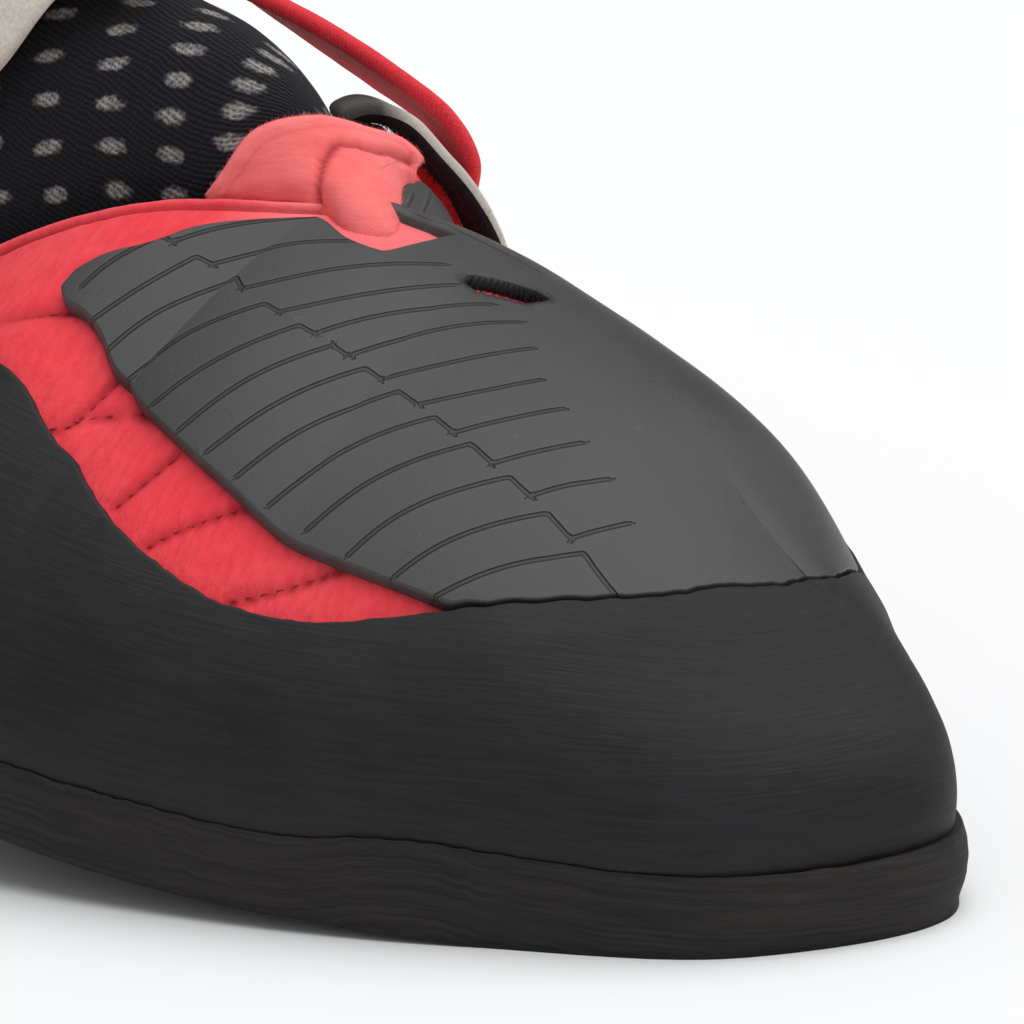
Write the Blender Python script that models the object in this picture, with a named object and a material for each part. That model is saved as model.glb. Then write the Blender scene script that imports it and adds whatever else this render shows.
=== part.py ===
"""Climbing shoe for the right foot, size about EU 42.

The shoe stands on its sole with the toe along +X, the inner (big toe) side along +Y and up along +Z.
The origin is the middle of the heel's flat spot, on the floor.
Sizes are in millimetres in the tables and become metres where the meshes are made.
"""
import math

import bmesh
import bpy
import numpy as np

MM = 0.001

# Walls and clearances
GAP = 0.4
UPPER_WALL = 2.0
RUBBER = 1.65
SOLE_OVERHANG = 2.3
SOLE_EDGE = 8.1
SOLE_CROWN = 2.4
INSOLE_THICK = 2.6
INSOLE_INSET = 2.7
INSOLE_LIFT = 0.2
TONGUE_THICK = 2.4
FLAP_THICK = 2.0
STRAP_THICK = 2.2
TAB_THICK = 1.2
ANCHOR_THICK = 2.4
PAD_THICK = 1.0
LOOP_THICK = 1.2
LOOP_WIDTH = 11.0
LOOP_HEIGHT = 17.0

OUTER = -1
INNER = 1
THROAT_U = 0.70
LEVEL_RIM = 0.84

# Stations along the shoe: u is 0 at the back of the heel and 1 at the tip of the toe.
STATIONS = np.array([
    0.0, 0.0225, 0.045, 0.0725, 0.1, 0.14, 0.18, 0.22, 0.265, 0.31, 0.35, 0.39, 0.43, 0.47, 0.505,
    0.54, 0.57, 0.60, 0.625, 0.645, 0.665, 0.6825, 0.70, 0.7175, 0.735, 0.7525, 0.77, 0.80, 0.832,
    0.855, 0.875, 0.895, 0.915, 0.935, 0.955, 0.97, 0.985, 1.0,
])
WALL_ROWS = 12

# Foot line and wall of each side.
# The wall leaves the foot line by (bulge, rise) and reaches the top by (reach, drop).
#   u, foot x, foot y, foot z, bulge, rise, reach, drop
OUTER_SIDE = [
    (0.000, -28.0, 0.0, 12.0, 9.0, 24.0, -2.0, 26.0),
    (0.045, -24.5, -14.5, 11.5, 8.0, 23.0, -2.0, 24.0),
    (0.100, -12.0, -24.0, 11.0, 6.0, 22.0, -2.0, 22.0),
    (0.220, 20.0, -28.5, 12.0, 4.0, 18.0, -2.0, 18.0),
    (0.390, 65.0, -33.0, 20.0, 3.0, 14.0, -1.0, 14.0),
    (0.540, 105.0, -40.0, 23.0, 3.0, 14.0, 4.0, 10.0),
    (0.665, 137.5, -51.0, 17.1, 4.0, 18.0, 14.0, 2.0),
    (0.800, 173.0, -38.0, 10.9, 3.0, 18.0, 26.0, 0.0),
    (0.895, 196.0, -22.0, 9.5, 3.0, 15.0, 22.0, 0.0),
    (0.955, 215.5, -3.5, 8.6, 3.0, 13.0, 15.0, 0.0),
    (1.000, 220.2, 18.0, 9.1, 2.2, 11.8, 12.6, 0.0),
]
INNER_SIDE = [
    (0.000, -28.0, 0.0, 12.0, 9.0, 24.0, -2.0, 26.0),
    (0.045, -24.5, 14.5, 11.5, 8.0, 23.0, -2.0, 24.0),
    (0.100, -12.0, 23.5, 11.0, 6.0, 22.0, -2.0, 22.0),
    (0.220, 25.0, 25.5, 13.0, 4.0, 16.0, -2.0, 16.0),
    (0.390, 70.0, 25.5, 23.5, 3.0, 16.0, 1.0, 14.0),
    (0.540, 98.0, 30.0, 26.0, 3.0, 18.0, 6.0, 9.0),
    (0.665, 124.0, 38.5, 22.5, 2.0, 20.0, 13.0, 4.0),
    (0.800, 161.5, 41.2, 13.6, 2.7, 18.3, 13.0, 0.0),
    (0.895, 185.0, 37.4, 9.5, 2.5, 17.8, 15.5, 0.0),
    (0.955, 204.5, 29.0, 8.8, 2.4, 14.5, 10.0, 0.0),
    (1.000, 220.2, 18.0, 9.1, 2.2, 11.8, 12.6, 0.0),
]

# Collar edge of each side up to the throat, and the ridge from the throat to the toe's dome.
#   u, x, y, z
OUTER_COLLAR = [
    (0.000, -21.0, 0.0, 82.0),
    (0.045, -18.5, -11.5, 80.5),
    (0.100, -9.5, -19.5, 74.5),
    (0.220, 18.0, -25.0, 62.0),
    (0.390, 60.0, -29.0, 55.0),
    (0.540, 98.0, -26.2, 51.5),
    (0.665, 131.0, -4.5, 63.2),
    (0.700, 140.5, 9.0, 61.8),
]
INNER_COLLAR = [
    (0.000, -21.0, 0.0, 82.0),
    (0.045, -18.5, 11.5, 80.5),
    (0.100, -9.5, 20.0, 74.5),
    (0.220, 33.0, 27.0, 58.5),
    (0.390, 78.0, 27.0, 59.0),
    (0.540, 106.0, 25.5, 62.5),
    (0.665, 130.0, 20.5, 64.5),
    (0.700, 140.5, 9.0, 61.8),
]
RIDGE = [
    (0.700, 140.5, 9.0, 61.8),
    (0.800, 154.0, 16.0, 56.4),
    (0.895, 178.0, 17.8, 46.8),
    (0.955, 187.6, 17.6, 40.8),
    (1.000, 192.0, 17.2, 37.4),
]

# Height of the sole's tread above the floor along its middle: u, z
TREAD_LINE = [
    (0.00, 0.6),
    (0.04, 0.0),
    (0.16, 0.0),
    (0.25, 1.8),
    (0.39, 10.5),
    (0.54, 15.6),
    (0.665, 10.6),
    (0.76, 3.4),
    (0.84, 0.0),
    (1.00, 0.0),
]

# Top edge of the rand: u, v on the outer side, v on the inner side
RAND_TOP = [
    (0.000, 0.400, 0.400),
    (0.100, 0.400, 0.400),
    (0.220, 0.440, 0.440),
    (0.390, 0.510, 0.450),
    (0.540, 0.590, 0.430),
    (0.625, 0.590, 0.405),
    (0.657, 0.545, 0.395),
    (0.692, 0.445, 0.380),
    (0.754, 0.355, 0.355),
    (0.787, 0.335, 0.350),
    (0.816, 0.345, 0.360),
    (0.868, 0.430, 0.430),
    (0.925, 0.565, 0.535),
    (0.957, 0.670, 0.605),
    (1.000, 0.730, 0.730),
]

# Toe patch, its lower and its upper edge on each side: u, low v, high v
PATCH_OUTER = [
    (0.654, 0.690, 0.725),
    (0.659, 0.662, 0.762),
    (0.668, 0.640, 0.790),
    (0.677, 0.610, 0.840),
    (0.692, 0.550, 0.868),
    (0.704, 0.525, 0.880),
    (0.734, 0.498, 0.862),
    (0.753, 0.482, 0.870),
    (0.764, 0.473, 0.940),
    (0.770, 0.468, 1.000),
    (0.809, 0.437, 1.000),
    (0.868, 0.439, 1.000),
]
PATCH_INNER = [
    (0.676, 0.700, 0.830),
    (0.681, 0.655, 0.890),
    (0.690, 0.610, 0.935),
    (0.700, 0.565, 1.000),
    (0.734, 0.510, 1.000),
    (0.770, 0.475, 1.000),
    (0.809, 0.445, 1.000),
    (0.868, 0.439, 1.000),
]
PATCH_ROWS = 7
SLOT = (0.80, 0.832)

# Heel cup, upper edge: u, high v
CUP_TOP = [
    (0.000, 0.900),
    (0.045, 0.880),
    (0.100, 0.780),
    (0.140, 0.620),
    (0.165, 0.480),
]

# Tongue along its middle: x, y, z, half width, fall at the edges
TONGUE = [
    (152.0, 12.2, 52.6, 5.5, 2.6),
    (146.0, 10.6, 54.4, 6.2, 3.6),
    (140.8, 8.2, 55.8, 6.4, 5.0),
    (136.8, 8.0, 59.5, 5.6, 6.4),
    (132.8, 7.8, 65.8, 7.1, 8.4),
    (127.0, 7.0, 73.6, 10.2, 14.0),
    (119.0, 5.4, 78.6, 14.6, 21.5),
    (109.0, 3.0, 81.6, 18.0, 29.0),
    (97.0, 0.5, 84.6, 20.5, 35.0),
    (84.0, -0.2, 88.8, 20.6, 38.0),
    (70.0, -0.2, 95.2, 21.4, 40.0),
]
TONGUE_ACROSS = 10
TONGUE_TURN = 1.35

# Strap: front edge x, y, z and the way to its rear edge dx, dy, dz, from the inner to the outer side
STRAP = [
    (122.0, 38.8, 47.0, -12.0, -1.6, 0.6),
    (122.8, 38.8, 51.5, -12.0, -2.2, 0.2),
    (124.0, 39.0, 55.8, -12.0, 0.5, 0.0),
    (124.6, 38.4, 60.0, -12.2, 5.0, -0.6),
    (123.4, 35.2, 65.6, -13.4, 9.0, -1.6),
    (120.6, 29.4, 71.0, -15.0, 11.0, -2.0),
    (117.4, 22.6, 76.2, -17.0, 12.0, 0.0),
    (113.4, 14.4, 81.2, -18.5, 12.0, 4.0),
    (109.0, 5.6, 84.4, -20.0, 11.0, 8.5),
    (104.4, -4.0, 82.2, -21.0, 9.0, 12.0),
    (100.0, -13.0, 76.4, -22.0, 5.0, 12.5),
    (96.2, -21.0, 69.2, -23.0, 0.5, 10.0),
    (92.4, -28.4, 60.2, -23.5, -0.8, 6.0),
    (88.4, -33.6, 50.0, -23.0, 1.0, 3.6),
    (86.6, -36.6, 42.5, -23.0, 2.4, 2.6),
]
STRAP_ACROSS = 5
STRAP_LIFT = 4.1
TAB_START = 8

# Curl at the strap's fixed end: front edge x, y, z and the way to its rear edge dx, dy, dz
ANCHOR = [
    (131.5, 38.6, 46.0, -5.5, -0.4, 0.3),
    (130.8, 37.0, 52.0, -5.5, 0.2, 0.2),
    (129.8, 34.0, 57.5, -6.5, 1.6, 0.2),
    (128.2, 30.8, 61.9, -7.5, 2.4, -0.2),
    (125.8, 28.0, 65.8, -7.5, 3.0, -0.6),
    (123.6, 24.6, 67.2, -7.0, 3.0, -0.3),
    (122.2, 21.6, 66.4, -6.5, 3.0, -0.4),
]

# Flap over the throat, in columns from the outer to the inner side; each rises from its foot to its rim
FLAP = [
    [(129.4, -4.2, 64.8), (128.9, -4.3, 65.2), (128.4, -4.3, 65.6), (127.8, -4.2, 66.0)],
    [(131.2, -2.2, 64.6), (130.6, -2.2, 65.6), (130.1, -2.1, 66.6), (129.4, -2.0, 67.6)],
    [(133.4, 0.4, 64.6), (132.5, 0.5, 66.3), (131.8, 0.5, 68.0), (131.0, 0.5, 69.6)],
    [(135.4, 2.8, 64.6), (134.2, 3.3, 66.8), (133.1, 3.5, 68.9), (132.0, 3.6, 71.0)],
    [(138.0, 4.8, 64.4), (135.6, 6.4, 66.6), (134.1, 7.2, 68.9), (132.6, 7.9, 71.0)],
    [(141.0, 5.6, 64.2), (138.2, 8.0, 65.6), (135.6, 9.8, 67.8), (132.6, 11.5, 70.0)],
    [(140.9, 8.8, 64.0), (138.6, 10.8, 65.3), (135.8, 13.0, 67.2), (132.6, 15.2, 68.4)],
    [(138.6, 12.8, 64.3), (136.6, 15.0, 65.3), (134.5, 17.3, 66.2), (132.2, 19.6, 66.8)],
    [(135.9, 17.4, 64.2), (134.9, 19.2, 64.7), (133.8, 20.8, 65.0), (132.4, 22.3, 65.1)],
    [(134.4, 21.8, 63.2), (133.8, 22.7, 63.3), (133.0, 23.6, 63.2), (132.0, 24.4, 63.0)],
]


class Track:
    """Smooth curve through the rows of a table whose first column is u."""

    def __init__(self, rows, monotone=False):
        table = np.array(rows, float)
        self.u = table[:, 0]
        self.value = table[:, 1:]
        step = np.diff(self.u)[:, None]
        rate = np.diff(self.value, axis=0) / step
        slope = np.empty_like(self.value)
        if monotone:
            near = 2.0 * step[1:] + step[:-1]
            far = step[1:] + 2.0 * step[:-1]
            same_way = rate[:-1] * rate[1:] > 0.0
            before = np.where(same_way, rate[:-1], 1.0)
            after = np.where(same_way, rate[1:], 1.0)
            slope[1:-1] = np.where(same_way, (near + far) / (near / before + far / after), 0.0)
        else:
            slope[1:-1] = (step[1:] * rate[:-1] + step[:-1] * rate[1:]) / (step[1:] + step[:-1])
        slope[0] = 1.5 * rate[0] - 0.5 * slope[1]
        slope[-1] = 1.5 * rate[-1] - 0.5 * slope[-2]
        self.slope = slope

    def locate(self, u):
        """Row before u, the step to the next row, and the share of that step."""
        u = np.clip(np.asarray(u, float), self.u[0], self.u[-1])
        row = np.clip(np.searchsorted(self.u, u, side="right") - 1, 0, len(self.u) - 2)
        step = (self.u[row + 1] - self.u[row])[..., None]
        share = (u - self.u[row])[..., None] / step
        return row, step, share

    def at(self, u):
        row, step, t = self.locate(u)
        start = (2 * t ** 3 - 3 * t ** 2 + 1) * self.value[row] + (t ** 3 - 2 * t ** 2 + t) * step * self.slope[row]
        end = (3 * t ** 2 - 2 * t ** 3) * self.value[row + 1] + (t ** 3 - t ** 2) * step * self.slope[row + 1]
        return start + end

    def rate(self, u):
        row, step, t = self.locate(u)
        change = (6 * t ** 2 - 6 * t) * (self.value[row] - self.value[row + 1]) / step
        return change + (3 * t ** 2 - 4 * t + 1) * self.slope[row] + (3 * t ** 2 - 2 * t) * self.slope[row + 1]


class Last:
    """Outside of the upper as a surface over side, u along the shoe and v up the wall."""

    def __init__(self):
        self.foot = {}
        self.wall = {}
        self.collar = {}
        for side, rows, other in ((OUTER, OUTER_SIDE, INNER_SIDE), (INNER, INNER_SIDE, OUTER_SIDE)):
            # One row of the other side past each end keeps the foot line round at heel and toe.
            before = (-other[1][0],) + other[1][1:4]
            after = (2.0 - other[-2][0],) + other[-2][1:4]
            self.foot[side] = Track([before] + [row[:4] for row in rows] + [after])
            self.wall[side] = Track([(row[0],) + row[4:] for row in rows], monotone=True)
        self.collar[OUTER] = Track(OUTER_COLLAR)
        self.collar[INNER] = Track(INNER_COLLAR)
        self.ridge = Track(RIDGE, monotone=True)

    def top(self, side, u):
        behind = (np.asarray(u, float) < THROAT_U)[..., None]
        return np.where(behind, self.collar[side].at(u), self.ridge.at(u))

    def outward(self, side, u):
        """Level direction away from the shoe, square to the foot line."""
        along = self.foot[side].rate(u)[..., :2]
        away = np.stack([-side * along[..., 1], side * along[..., 0]], axis=-1)
        return away / np.maximum(np.linalg.norm(away, axis=-1, keepdims=True), 1e-9)

    def point(self, side, u, v):
        u, v = np.broadcast_arrays(np.asarray(u, float), np.asarray(v, float))
        foot = self.foot[side].at(u)
        top = self.top(side, u)
        bulge, rise, reach, drop = np.moveaxis(self.wall[side].at(u), -1, 0)
        across = (foot - top)[..., :2]
        across = across / np.maximum(np.linalg.norm(across, axis=-1, keepdims=True), 1e-9)
        # On the ridge both walls end in one slanted plane that follows the ridge's slope.
        run = self.ridge.rate(np.maximum(u, THROAT_U))
        level = np.maximum(np.linalg.norm(run[..., :2], axis=-1), 1e-9)
        lean = (across * run[..., :2]).sum(-1) / level * run[..., 2] / level
        lean = lean * np.clip((u - 0.6) / 0.1, 0.0, 1.0)
        low = foot + np.concatenate([self.outward(side, u) * bulge[..., None], rise[..., None]], axis=-1)
        high = top + np.concatenate([across * reach[..., None], (lean * reach - drop)[..., None]], axis=-1)
        v = v[..., None]
        return (1 - v) ** 3 * foot + 3 * (1 - v) ** 2 * v * low + 3 * (1 - v) * v ** 2 * high + v ** 3 * top

    def normal(self, side, u, v):
        step = 0.001
        u, v = np.broadcast_arrays(np.asarray(u, float), np.asarray(v, float))
        along = self.point(side, np.minimum(u + step, 1.0), v) - self.point(side, np.maximum(u - step, 0.0), v)
        upper = np.clip(v + step, 0.0, 1.0)
        up = self.point(side, u, upper) - self.point(side, u, upper - 2 * step)
        normal = np.cross(along, up) * -side
        size = np.linalg.norm(normal, axis=-1, keepdims=True)
        return np.where(size > 1e-9, normal / np.maximum(size, 1e-9), (0.0, 0.0, 1.0))

    def offset(self, side, u, v, distance):
        """Point at a distance outside the surface."""
        return self.point(side, u, v) + self.normal(side, u, v) * distance

    def spine(self, u):
        """Middle line of the sole, drawn in from the heel and the toe."""
        inside = 0.075 + 0.855 * np.asarray(u, float)
        middle = 0.5 * (self.foot[OUTER].at(inside) + self.foot[INNER].at(inside))
        return middle

    def floor_point(self, side, u, share, over=0.0):
        """Point of the surface under the foot: share is 0 on the middle line and 1 on the foot line."""
        edge = self.foot[side].at(u) + np.append(self.outward(side, u) * over, 0.0)
        middle = self.spine(u)
        point = middle + (edge - middle) * share
        # Near the edge the surface is level with the foot line, where the walls stand.
        point[2] = edge[2] + (middle[2] - edge[2]) * max(0.0, 1.0 - share / LEVEL_RIM)
        return point


LAST = Last()
TREAD = Track(TREAD_LINE, monotone=True)
RAND_EDGE = Track(RAND_TOP, monotone=True)


def rand_top(side, u):
    """Height v of the rand's top edge."""
    both = RAND_EDGE.at(u)
    return both[..., 0] if side == OUTER else both[..., 1]


def material(name, color, roughness, metallic=0.0):
    """Material with a colour in sRGB values from 0 to 255."""
    linear = [((c / 255.0 + 0.055) / 1.055) ** 2.4 if c > 10 else c / 255.0 / 12.92 for c in color]
    mat = bpy.data.materials.new(name)
    mat.use_nodes = True
    shader = mat.node_tree.nodes["Principled BSDF"]
    shader.inputs["Base Color"].default_value = (*linear, 1.0)
    shader.inputs["Roughness"].default_value = roughness
    shader.inputs["Metallic"].default_value = metallic
    mat.diffuse_color = (*linear, 1.0)
    return mat


def shell(name, front, back, quads, mat, crease=40.0):
    """Closed solid between two nets of points that share their quads; the front faces outward."""
    count = len(front)
    mesh = bpy.data.meshes.new(name)
    bm = bmesh.new()
    verts = [bm.verts.new(np.asarray(p) * MM) for p in list(front) + list(back)]
    edges = set()
    for quad in quads:
        corners = list(dict.fromkeys(quad))
        bm.faces.new([verts[k] for k in corners])
        bm.faces.new([verts[k + count] for k in reversed(corners)])
        edges.update(zip(corners, corners[1:] + corners[:1]))
    for a, b in sorted(edges):
        if (b, a) not in edges:
            bm.faces.new([verts[b], verts[a], verts[a + count], verts[b + count]])
    bmesh.ops.delete(bm, geom=[v for v in bm.verts if not v.link_faces], context="VERTS")
    bm.to_mesh(mesh)
    bm.free()
    mesh.shade_smooth()
    mesh.set_sharp_from_angle(angle=math.radians(crease))
    mesh.materials.append(mat)
    obj = bpy.data.objects.new(name, mesh)
    bpy.context.scene.collection.objects.link(obj)
    return obj


class Net:
    """Net of stations on both sides that meets at heel, toe and ridge."""

    def __init__(self):
        self.keys = {}
        self.places = []
        self.quads = []

    def vertex(self, side, u, v):
        shared = u <= 0.0 or u >= 1.0 or (v >= 1.0 and u >= THROAT_U)
        key = (OUTER if shared else side, round(float(u), 5), round(float(v), 5))
        if key not in self.keys:
            self.keys[key] = len(self.places)
            self.places.append(key)
        return self.keys[key]

    def add_side(self, side, stations, low, high, rows, skip=None):
        """Quads between the edges low(side, u) and high(side, u)."""
        columns = []
        for u in stations:
            bottom = float(low(side, u))
            top = float(high(side, u))
            columns.append([self.vertex(side, u, bottom + (top - bottom) * k / rows) for k in range(rows + 1)])
        for i in range(len(columns) - 1):
            for k in range(rows):
                if skip and skip(side, stations[i], stations[i + 1], k):
                    continue
                quad = (columns[i][k], columns[i + 1][k], columns[i + 1][k + 1], columns[i][k + 1])
                self.quads.append(quad if side == OUTER else quad[::-1])

    def offsets(self, *distances):
        """The net's points at each distance outside the last; the bottom edge stays level."""
        base = np.array([LAST.point(side, u, v) for side, u, v in self.places])
        corners = np.array(self.quads)
        facing = np.cross(base[corners[:, 2]] - base[corners[:, 0]], base[corners[:, 3]] - base[corners[:, 1]])
        normal = np.zeros_like(base)
        for k in range(4):
            np.add.at(normal, corners[:, k], facing)
        normal = normal / np.maximum(np.linalg.norm(normal, axis=1, keepdims=True), 1e-9)
        nets = []
        for distance in distances:
            points = base + normal * distance
            for k, (side, u, v) in enumerate(self.places):
                if v <= 0.0:
                    points[k, 2] = base[k, 2]
            nets.append(points)
        return nets


def band(name, mat, low, high, rows, inside, outside, stations=None, skip=None):
    """Thick band on the last between two offsets from it."""
    net = Net()
    for side in (OUTER, INNER):
        net.add_side(side, (stations or {}).get(side, STATIONS), low, high, rows, skip)
    front, back = net.offsets(outside, inside)
    return shell(name, front, back, net.quads, mat)


def patch(name, mat, side, u_range, v_range, columns, rows, inside, outside):
    """Four-sided patch on one side of the last."""
    net = Net()
    net.add_side(side, np.linspace(*u_range, columns + 1), lambda s, u: v_range[0], lambda s, u: v_range[1], rows)
    front, back = net.offsets(outside, inside)
    return shell(name, front, back, net.quads, mat)


def sheet(name, mat, grid, thick, shift=0.0):
    """Thick sheet through a grid of points; a positive shift moves it along its own normals."""
    grid = np.asarray(grid, float)
    along = np.gradient(grid, axis=0)
    across = np.gradient(grid, axis=1)
    normal = np.cross(along, across)
    normal = normal / np.linalg.norm(normal, axis=-1, keepdims=True)
    rows, columns = grid.shape[:2]
    front = (grid + normal * (shift + thick / 2)).reshape(-1, 3)
    back = (grid + normal * (shift - thick / 2)).reshape(-1, 3)
    quads = []
    for i in range(rows - 1):
        for k in range(columns - 1):
            a = i * columns + k
            quads.append((a, a + columns, a + columns + 1, a + 1))
    return shell(name, front, back, quads, mat)


def tongue_height(x, y):
    """Height of the tongue's middle surface over a point of the plan, or None beside it."""
    rows = np.array(TONGUE[::-1])
    share = 0.0
    for _ in range(6):
        at_x = x + 0.12 * np.interp(x, rows[:, 0], rows[:, 4]) * share * share
        middle, height, half, fall = (np.interp(at_x, rows[:, 0], rows[:, k]) for k in (1, 2, 3, 4))
        across = (y - middle) / half * math.sin(TONGUE_TURN)
        if abs(across) > 0.97 * math.sin(TONGUE_TURN) or x < TONGUE[-1][0]:
            return None
        share = math.asin(across) / TONGUE_TURN
    return height - fall * share * share


def rest_on_tongue(point, lift):
    """Raise a point so that a sheet through it clears the tongue by its lift."""
    x, y, z = point
    height = tongue_height(x, y)
    if height is None:
        return point
    slopes = []
    for dx, dy in ((0.5, 0.0), (0.0, 0.5)):
        ends = [tongue_height(x + dx * k, y + dy * k) for k in (-1, 1)]
        slopes.append(0.0 if None in ends else ends[1] - ends[0])
    steep = min(math.sqrt(1.0 + slopes[0] ** 2 + slopes[1] ** 2), 2.4)
    return np.array((x, y, max(z, height + lift * steep)))


def ribbon_grid(table, across, extra=0.0):
    """Points across each row of a table that gives a front edge and the way to the rear edge."""
    rows = []
    for x, y, z, dx, dy, dz in table:
        edge = np.array((x, y, z))
        way = np.array((dx, dy, dz))
        reach = extra / np.linalg.norm(way)
        rows.append([edge + way * (-reach + (1 + 2 * reach) * k / across) for k in range(across + 1)])
    return rows


def under_foot(side, u, share, over, lift):
    """Point on the sole's top, or lifted above it."""
    point = LAST.floor_point(side, u, share, over)
    point[2] += lift
    return point


def make_outsole(mat):
    """Sole with a square edge, a rounded turn under it and a flat tread."""
    # share of the way from the middle line to the edge, and the height above the tread in crowns
    profile = [(0.0, 0.0), (0.35, 0.0), (0.62, 0.0), (0.8, 0.13), (0.9, 0.4), (0.965, 0.74), (1.0, 1.0)]
    net = Net()
    rows = len(profile) - 1
    columns = {}
    for side in (OUTER, INNER):
        for u in STATIONS:
            for k in range(rows + 1):
                # Row 0 is the middle line, which both sides share.
                shared = k == 0 or u <= 0.0 or u >= 1.0
                key = (OUTER if shared else side, float(u), k)
                if key not in columns:
                    columns[key] = len(net.places)
                    net.places.append(key)
        for u0, u1 in zip(STATIONS[:-1], STATIONS[1:]):
            for k in range(rows):
                corners = [(u0, k), (u1, k), (u1, k + 1), (u0, k + 1)]
                ids = []
                for u, row in corners:
                    shared = row == 0 or u <= 0.0 or u >= 1.0
                    ids.append(columns[(OUTER if shared else side, float(u), row)])
                net.quads.append(tuple(ids) if side == OUTER else tuple(ids[::-1]))
    tread = []
    top = []
    for side, u, k in net.places:
        share, lift = profile[k]
        edge = LAST.foot[side].at(u)[2] - GAP - SOLE_EDGE
        base = min(float(TREAD.at(u)[0]), edge)
        crown = min(edge - base, SOLE_CROWN)
        point = under_foot(side, u, share, SOLE_OVERHANG, 0.0)
        # From the flat tread the sole turns up by the crown, and by more where the wall is high.
        point[2] = base + crown * lift + (edge - base - crown) * lift ** 4
        tread.append(point)
        top.append(under_foot(side, u, share, SOLE_OVERHANG, -GAP))
    return shell("outsole", tread, top, net.quads, mat)


def make_insole(mat):
    """Thin footbed inside the upper's walls."""
    shares = (0.0, 0.4, 0.75, 1.0)
    places = {}
    order = []
    quads = []

    def key(side, u, k):
        shared = k == 0 or u <= 0.0 or u >= 1.0
        name = (OUTER if shared else side, float(u), k)
        if name not in places:
            places[name] = len(order)
            order.append(name)
        return places[name]

    for side in (OUTER, INNER):
        for u0, u1 in zip(STATIONS[:-1], STATIONS[1:]):
            for k in range(len(shares) - 1):
                quad = (key(side, u0, k), key(side, u1, k), key(side, u1, k + 1), key(side, u0, k + 1))
                quads.append(quad if side == OUTER else quad[::-1])
    below = []
    above = []
    for side, u, k in order:
        width = np.linalg.norm((LAST.foot[side].at(u) - LAST.spine(u))[:2])
        share = shares[k] * (1.0 - INSOLE_INSET / width)
        below.append(under_foot(side, u, share, 0.0, INSOLE_LIFT))
        above.append(under_foot(side, u, share, 0.0, INSOLE_LIFT + INSOLE_THICK))
    return shell("insole", below, above, quads, mat)


def make_upper(mat):
    """Hollow shell, open at the collar and underneath."""
    return band("upper", mat, lambda s, u: 0.0, lambda s, u: 1.0, WALL_ROWS, -UPPER_WALL, 0.0)


def make_rand(mat):
    """Rubber band round the whole foot above the sole."""
    return band("rand", mat, lambda s, u: 0.0, rand_top, 6, GAP, GAP + RUBBER)


def make_toe_patch(mat):
    """Toe-hook rubber over the forefoot with a notch at the throat and a slot on the ridge."""
    edges = {OUTER: Track(PATCH_OUTER, monotone=True), INNER: Track(PATCH_INNER, monotone=True)}
    join_u = PATCH_OUTER[-1][0]

    def low(side, u):
        if u >= join_u:
            return rand_top(side, u) + 0.010
        return edges[side].at(u)[0]

    def high(side, u):
        return edges[side].at(u)[1]

    def skip(side, u0, u1, row):
        return side == OUTER and row == PATCH_ROWS - 1 and u0 >= SLOT[0] - 1e-6 and u1 <= SLOT[1] + 1e-6

    stations = {}
    for side, rows in ((OUTER, PATCH_OUTER), (INNER, PATCH_INNER)):
        ends = [row[0] for row in rows[:4]]
        corner = [0.76, 0.764] if side == OUTER else []
        rest = [u for u in STATIONS if u > ends[-1] + 0.004]
        stations[side] = np.array(sorted(ends + corner + rest))
    return band("toe_patch", mat, low, high, PATCH_ROWS, GAP, GAP + RUBBER, stations, skip)


def make_heel_cup(mat):
    """Rubber cup above the rand at the heel."""
    edge = Track(CUP_TOP, monotone=True)
    stations = np.array([u for u in STATIONS if u < CUP_TOP[-1][0]] + [CUP_TOP[-1][0]])
    return band(
        "heel_cup", mat, lambda s, u: rand_top(s, u) + 0.010, lambda s, u: edge.at(u)[0], 5,
        GAP, GAP + RUBBER, {OUTER: stations, INNER: stations},
    )


def make_tongue(mat):
    """Arched knit sheet that rises from under the vamp to the ankle."""
    grid = []
    for x, y, z, half, fall in TONGUE:
        shares = np.linspace(-1.0, 1.0, TONGUE_ACROSS + 1)
        # The sheet leans back as it falls, square to its own rise.
        turn = math.sin(TONGUE_TURN)
        grid.append([(x - 0.12 * fall * w * w, y + half * math.sin(w * TONGUE_TURN) / turn, z - fall * w * w)
                     for w in shares])
    return sheet("tongue", mat, grid, TONGUE_THICK)


def make_flap(mat):
    """Flap that leans over the tongue from the throat and lies on the inner side of the vamp."""
    return sheet("throat_flap", mat, FLAP, FLAP_THICK)


def make_pull_loop(name, mat, centre_y):
    """Webbing loop over the heel's collar."""
    half = LOOP_WIDTH / 2
    grid = []
    clear = GAP + LOOP_THICK / 2
    for sign, angle in [(1, None), (1, 0.0)] + [(0, a) for a in (30, 60, 90, 120, 150)] + [(-1, 180.0), (-1, None)]:
        row = []
        for k in range(4):
            y = centre_y - half + LOOP_WIDTH * k / 3
            side = OUTER if y < 0 else INNER
            u = 0.045 * abs(y) / 13.0
            top_out = LAST.offset(side, u, 0.985, clear)
            top_in = LAST.offset(side, u, 0.985, -UPPER_WALL - clear - 0.3)
            if sign == 1 and angle is None:
                row.append(LAST.offset(side, u, 0.915, clear))
            elif sign == -1 and angle is None:
                row.append(LAST.offset(side, u, 0.84, -UPPER_WALL - clear - 0.3))
            else:
                a = math.radians(angle)
                middle = 0.5 * (top_out + top_in)
                swing = 0.5 * (top_out - top_in) * math.cos(a)
                spread = 1.0 + 0.7 * math.sin(a)
                row.append(middle + swing * spread + np.array((-1.5, 0.0, LOOP_HEIGHT)) * math.sin(a))
        grid.append(row)
    return sheet(name, mat, [row[::-1] for row in grid], LOOP_THICK)


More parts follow.
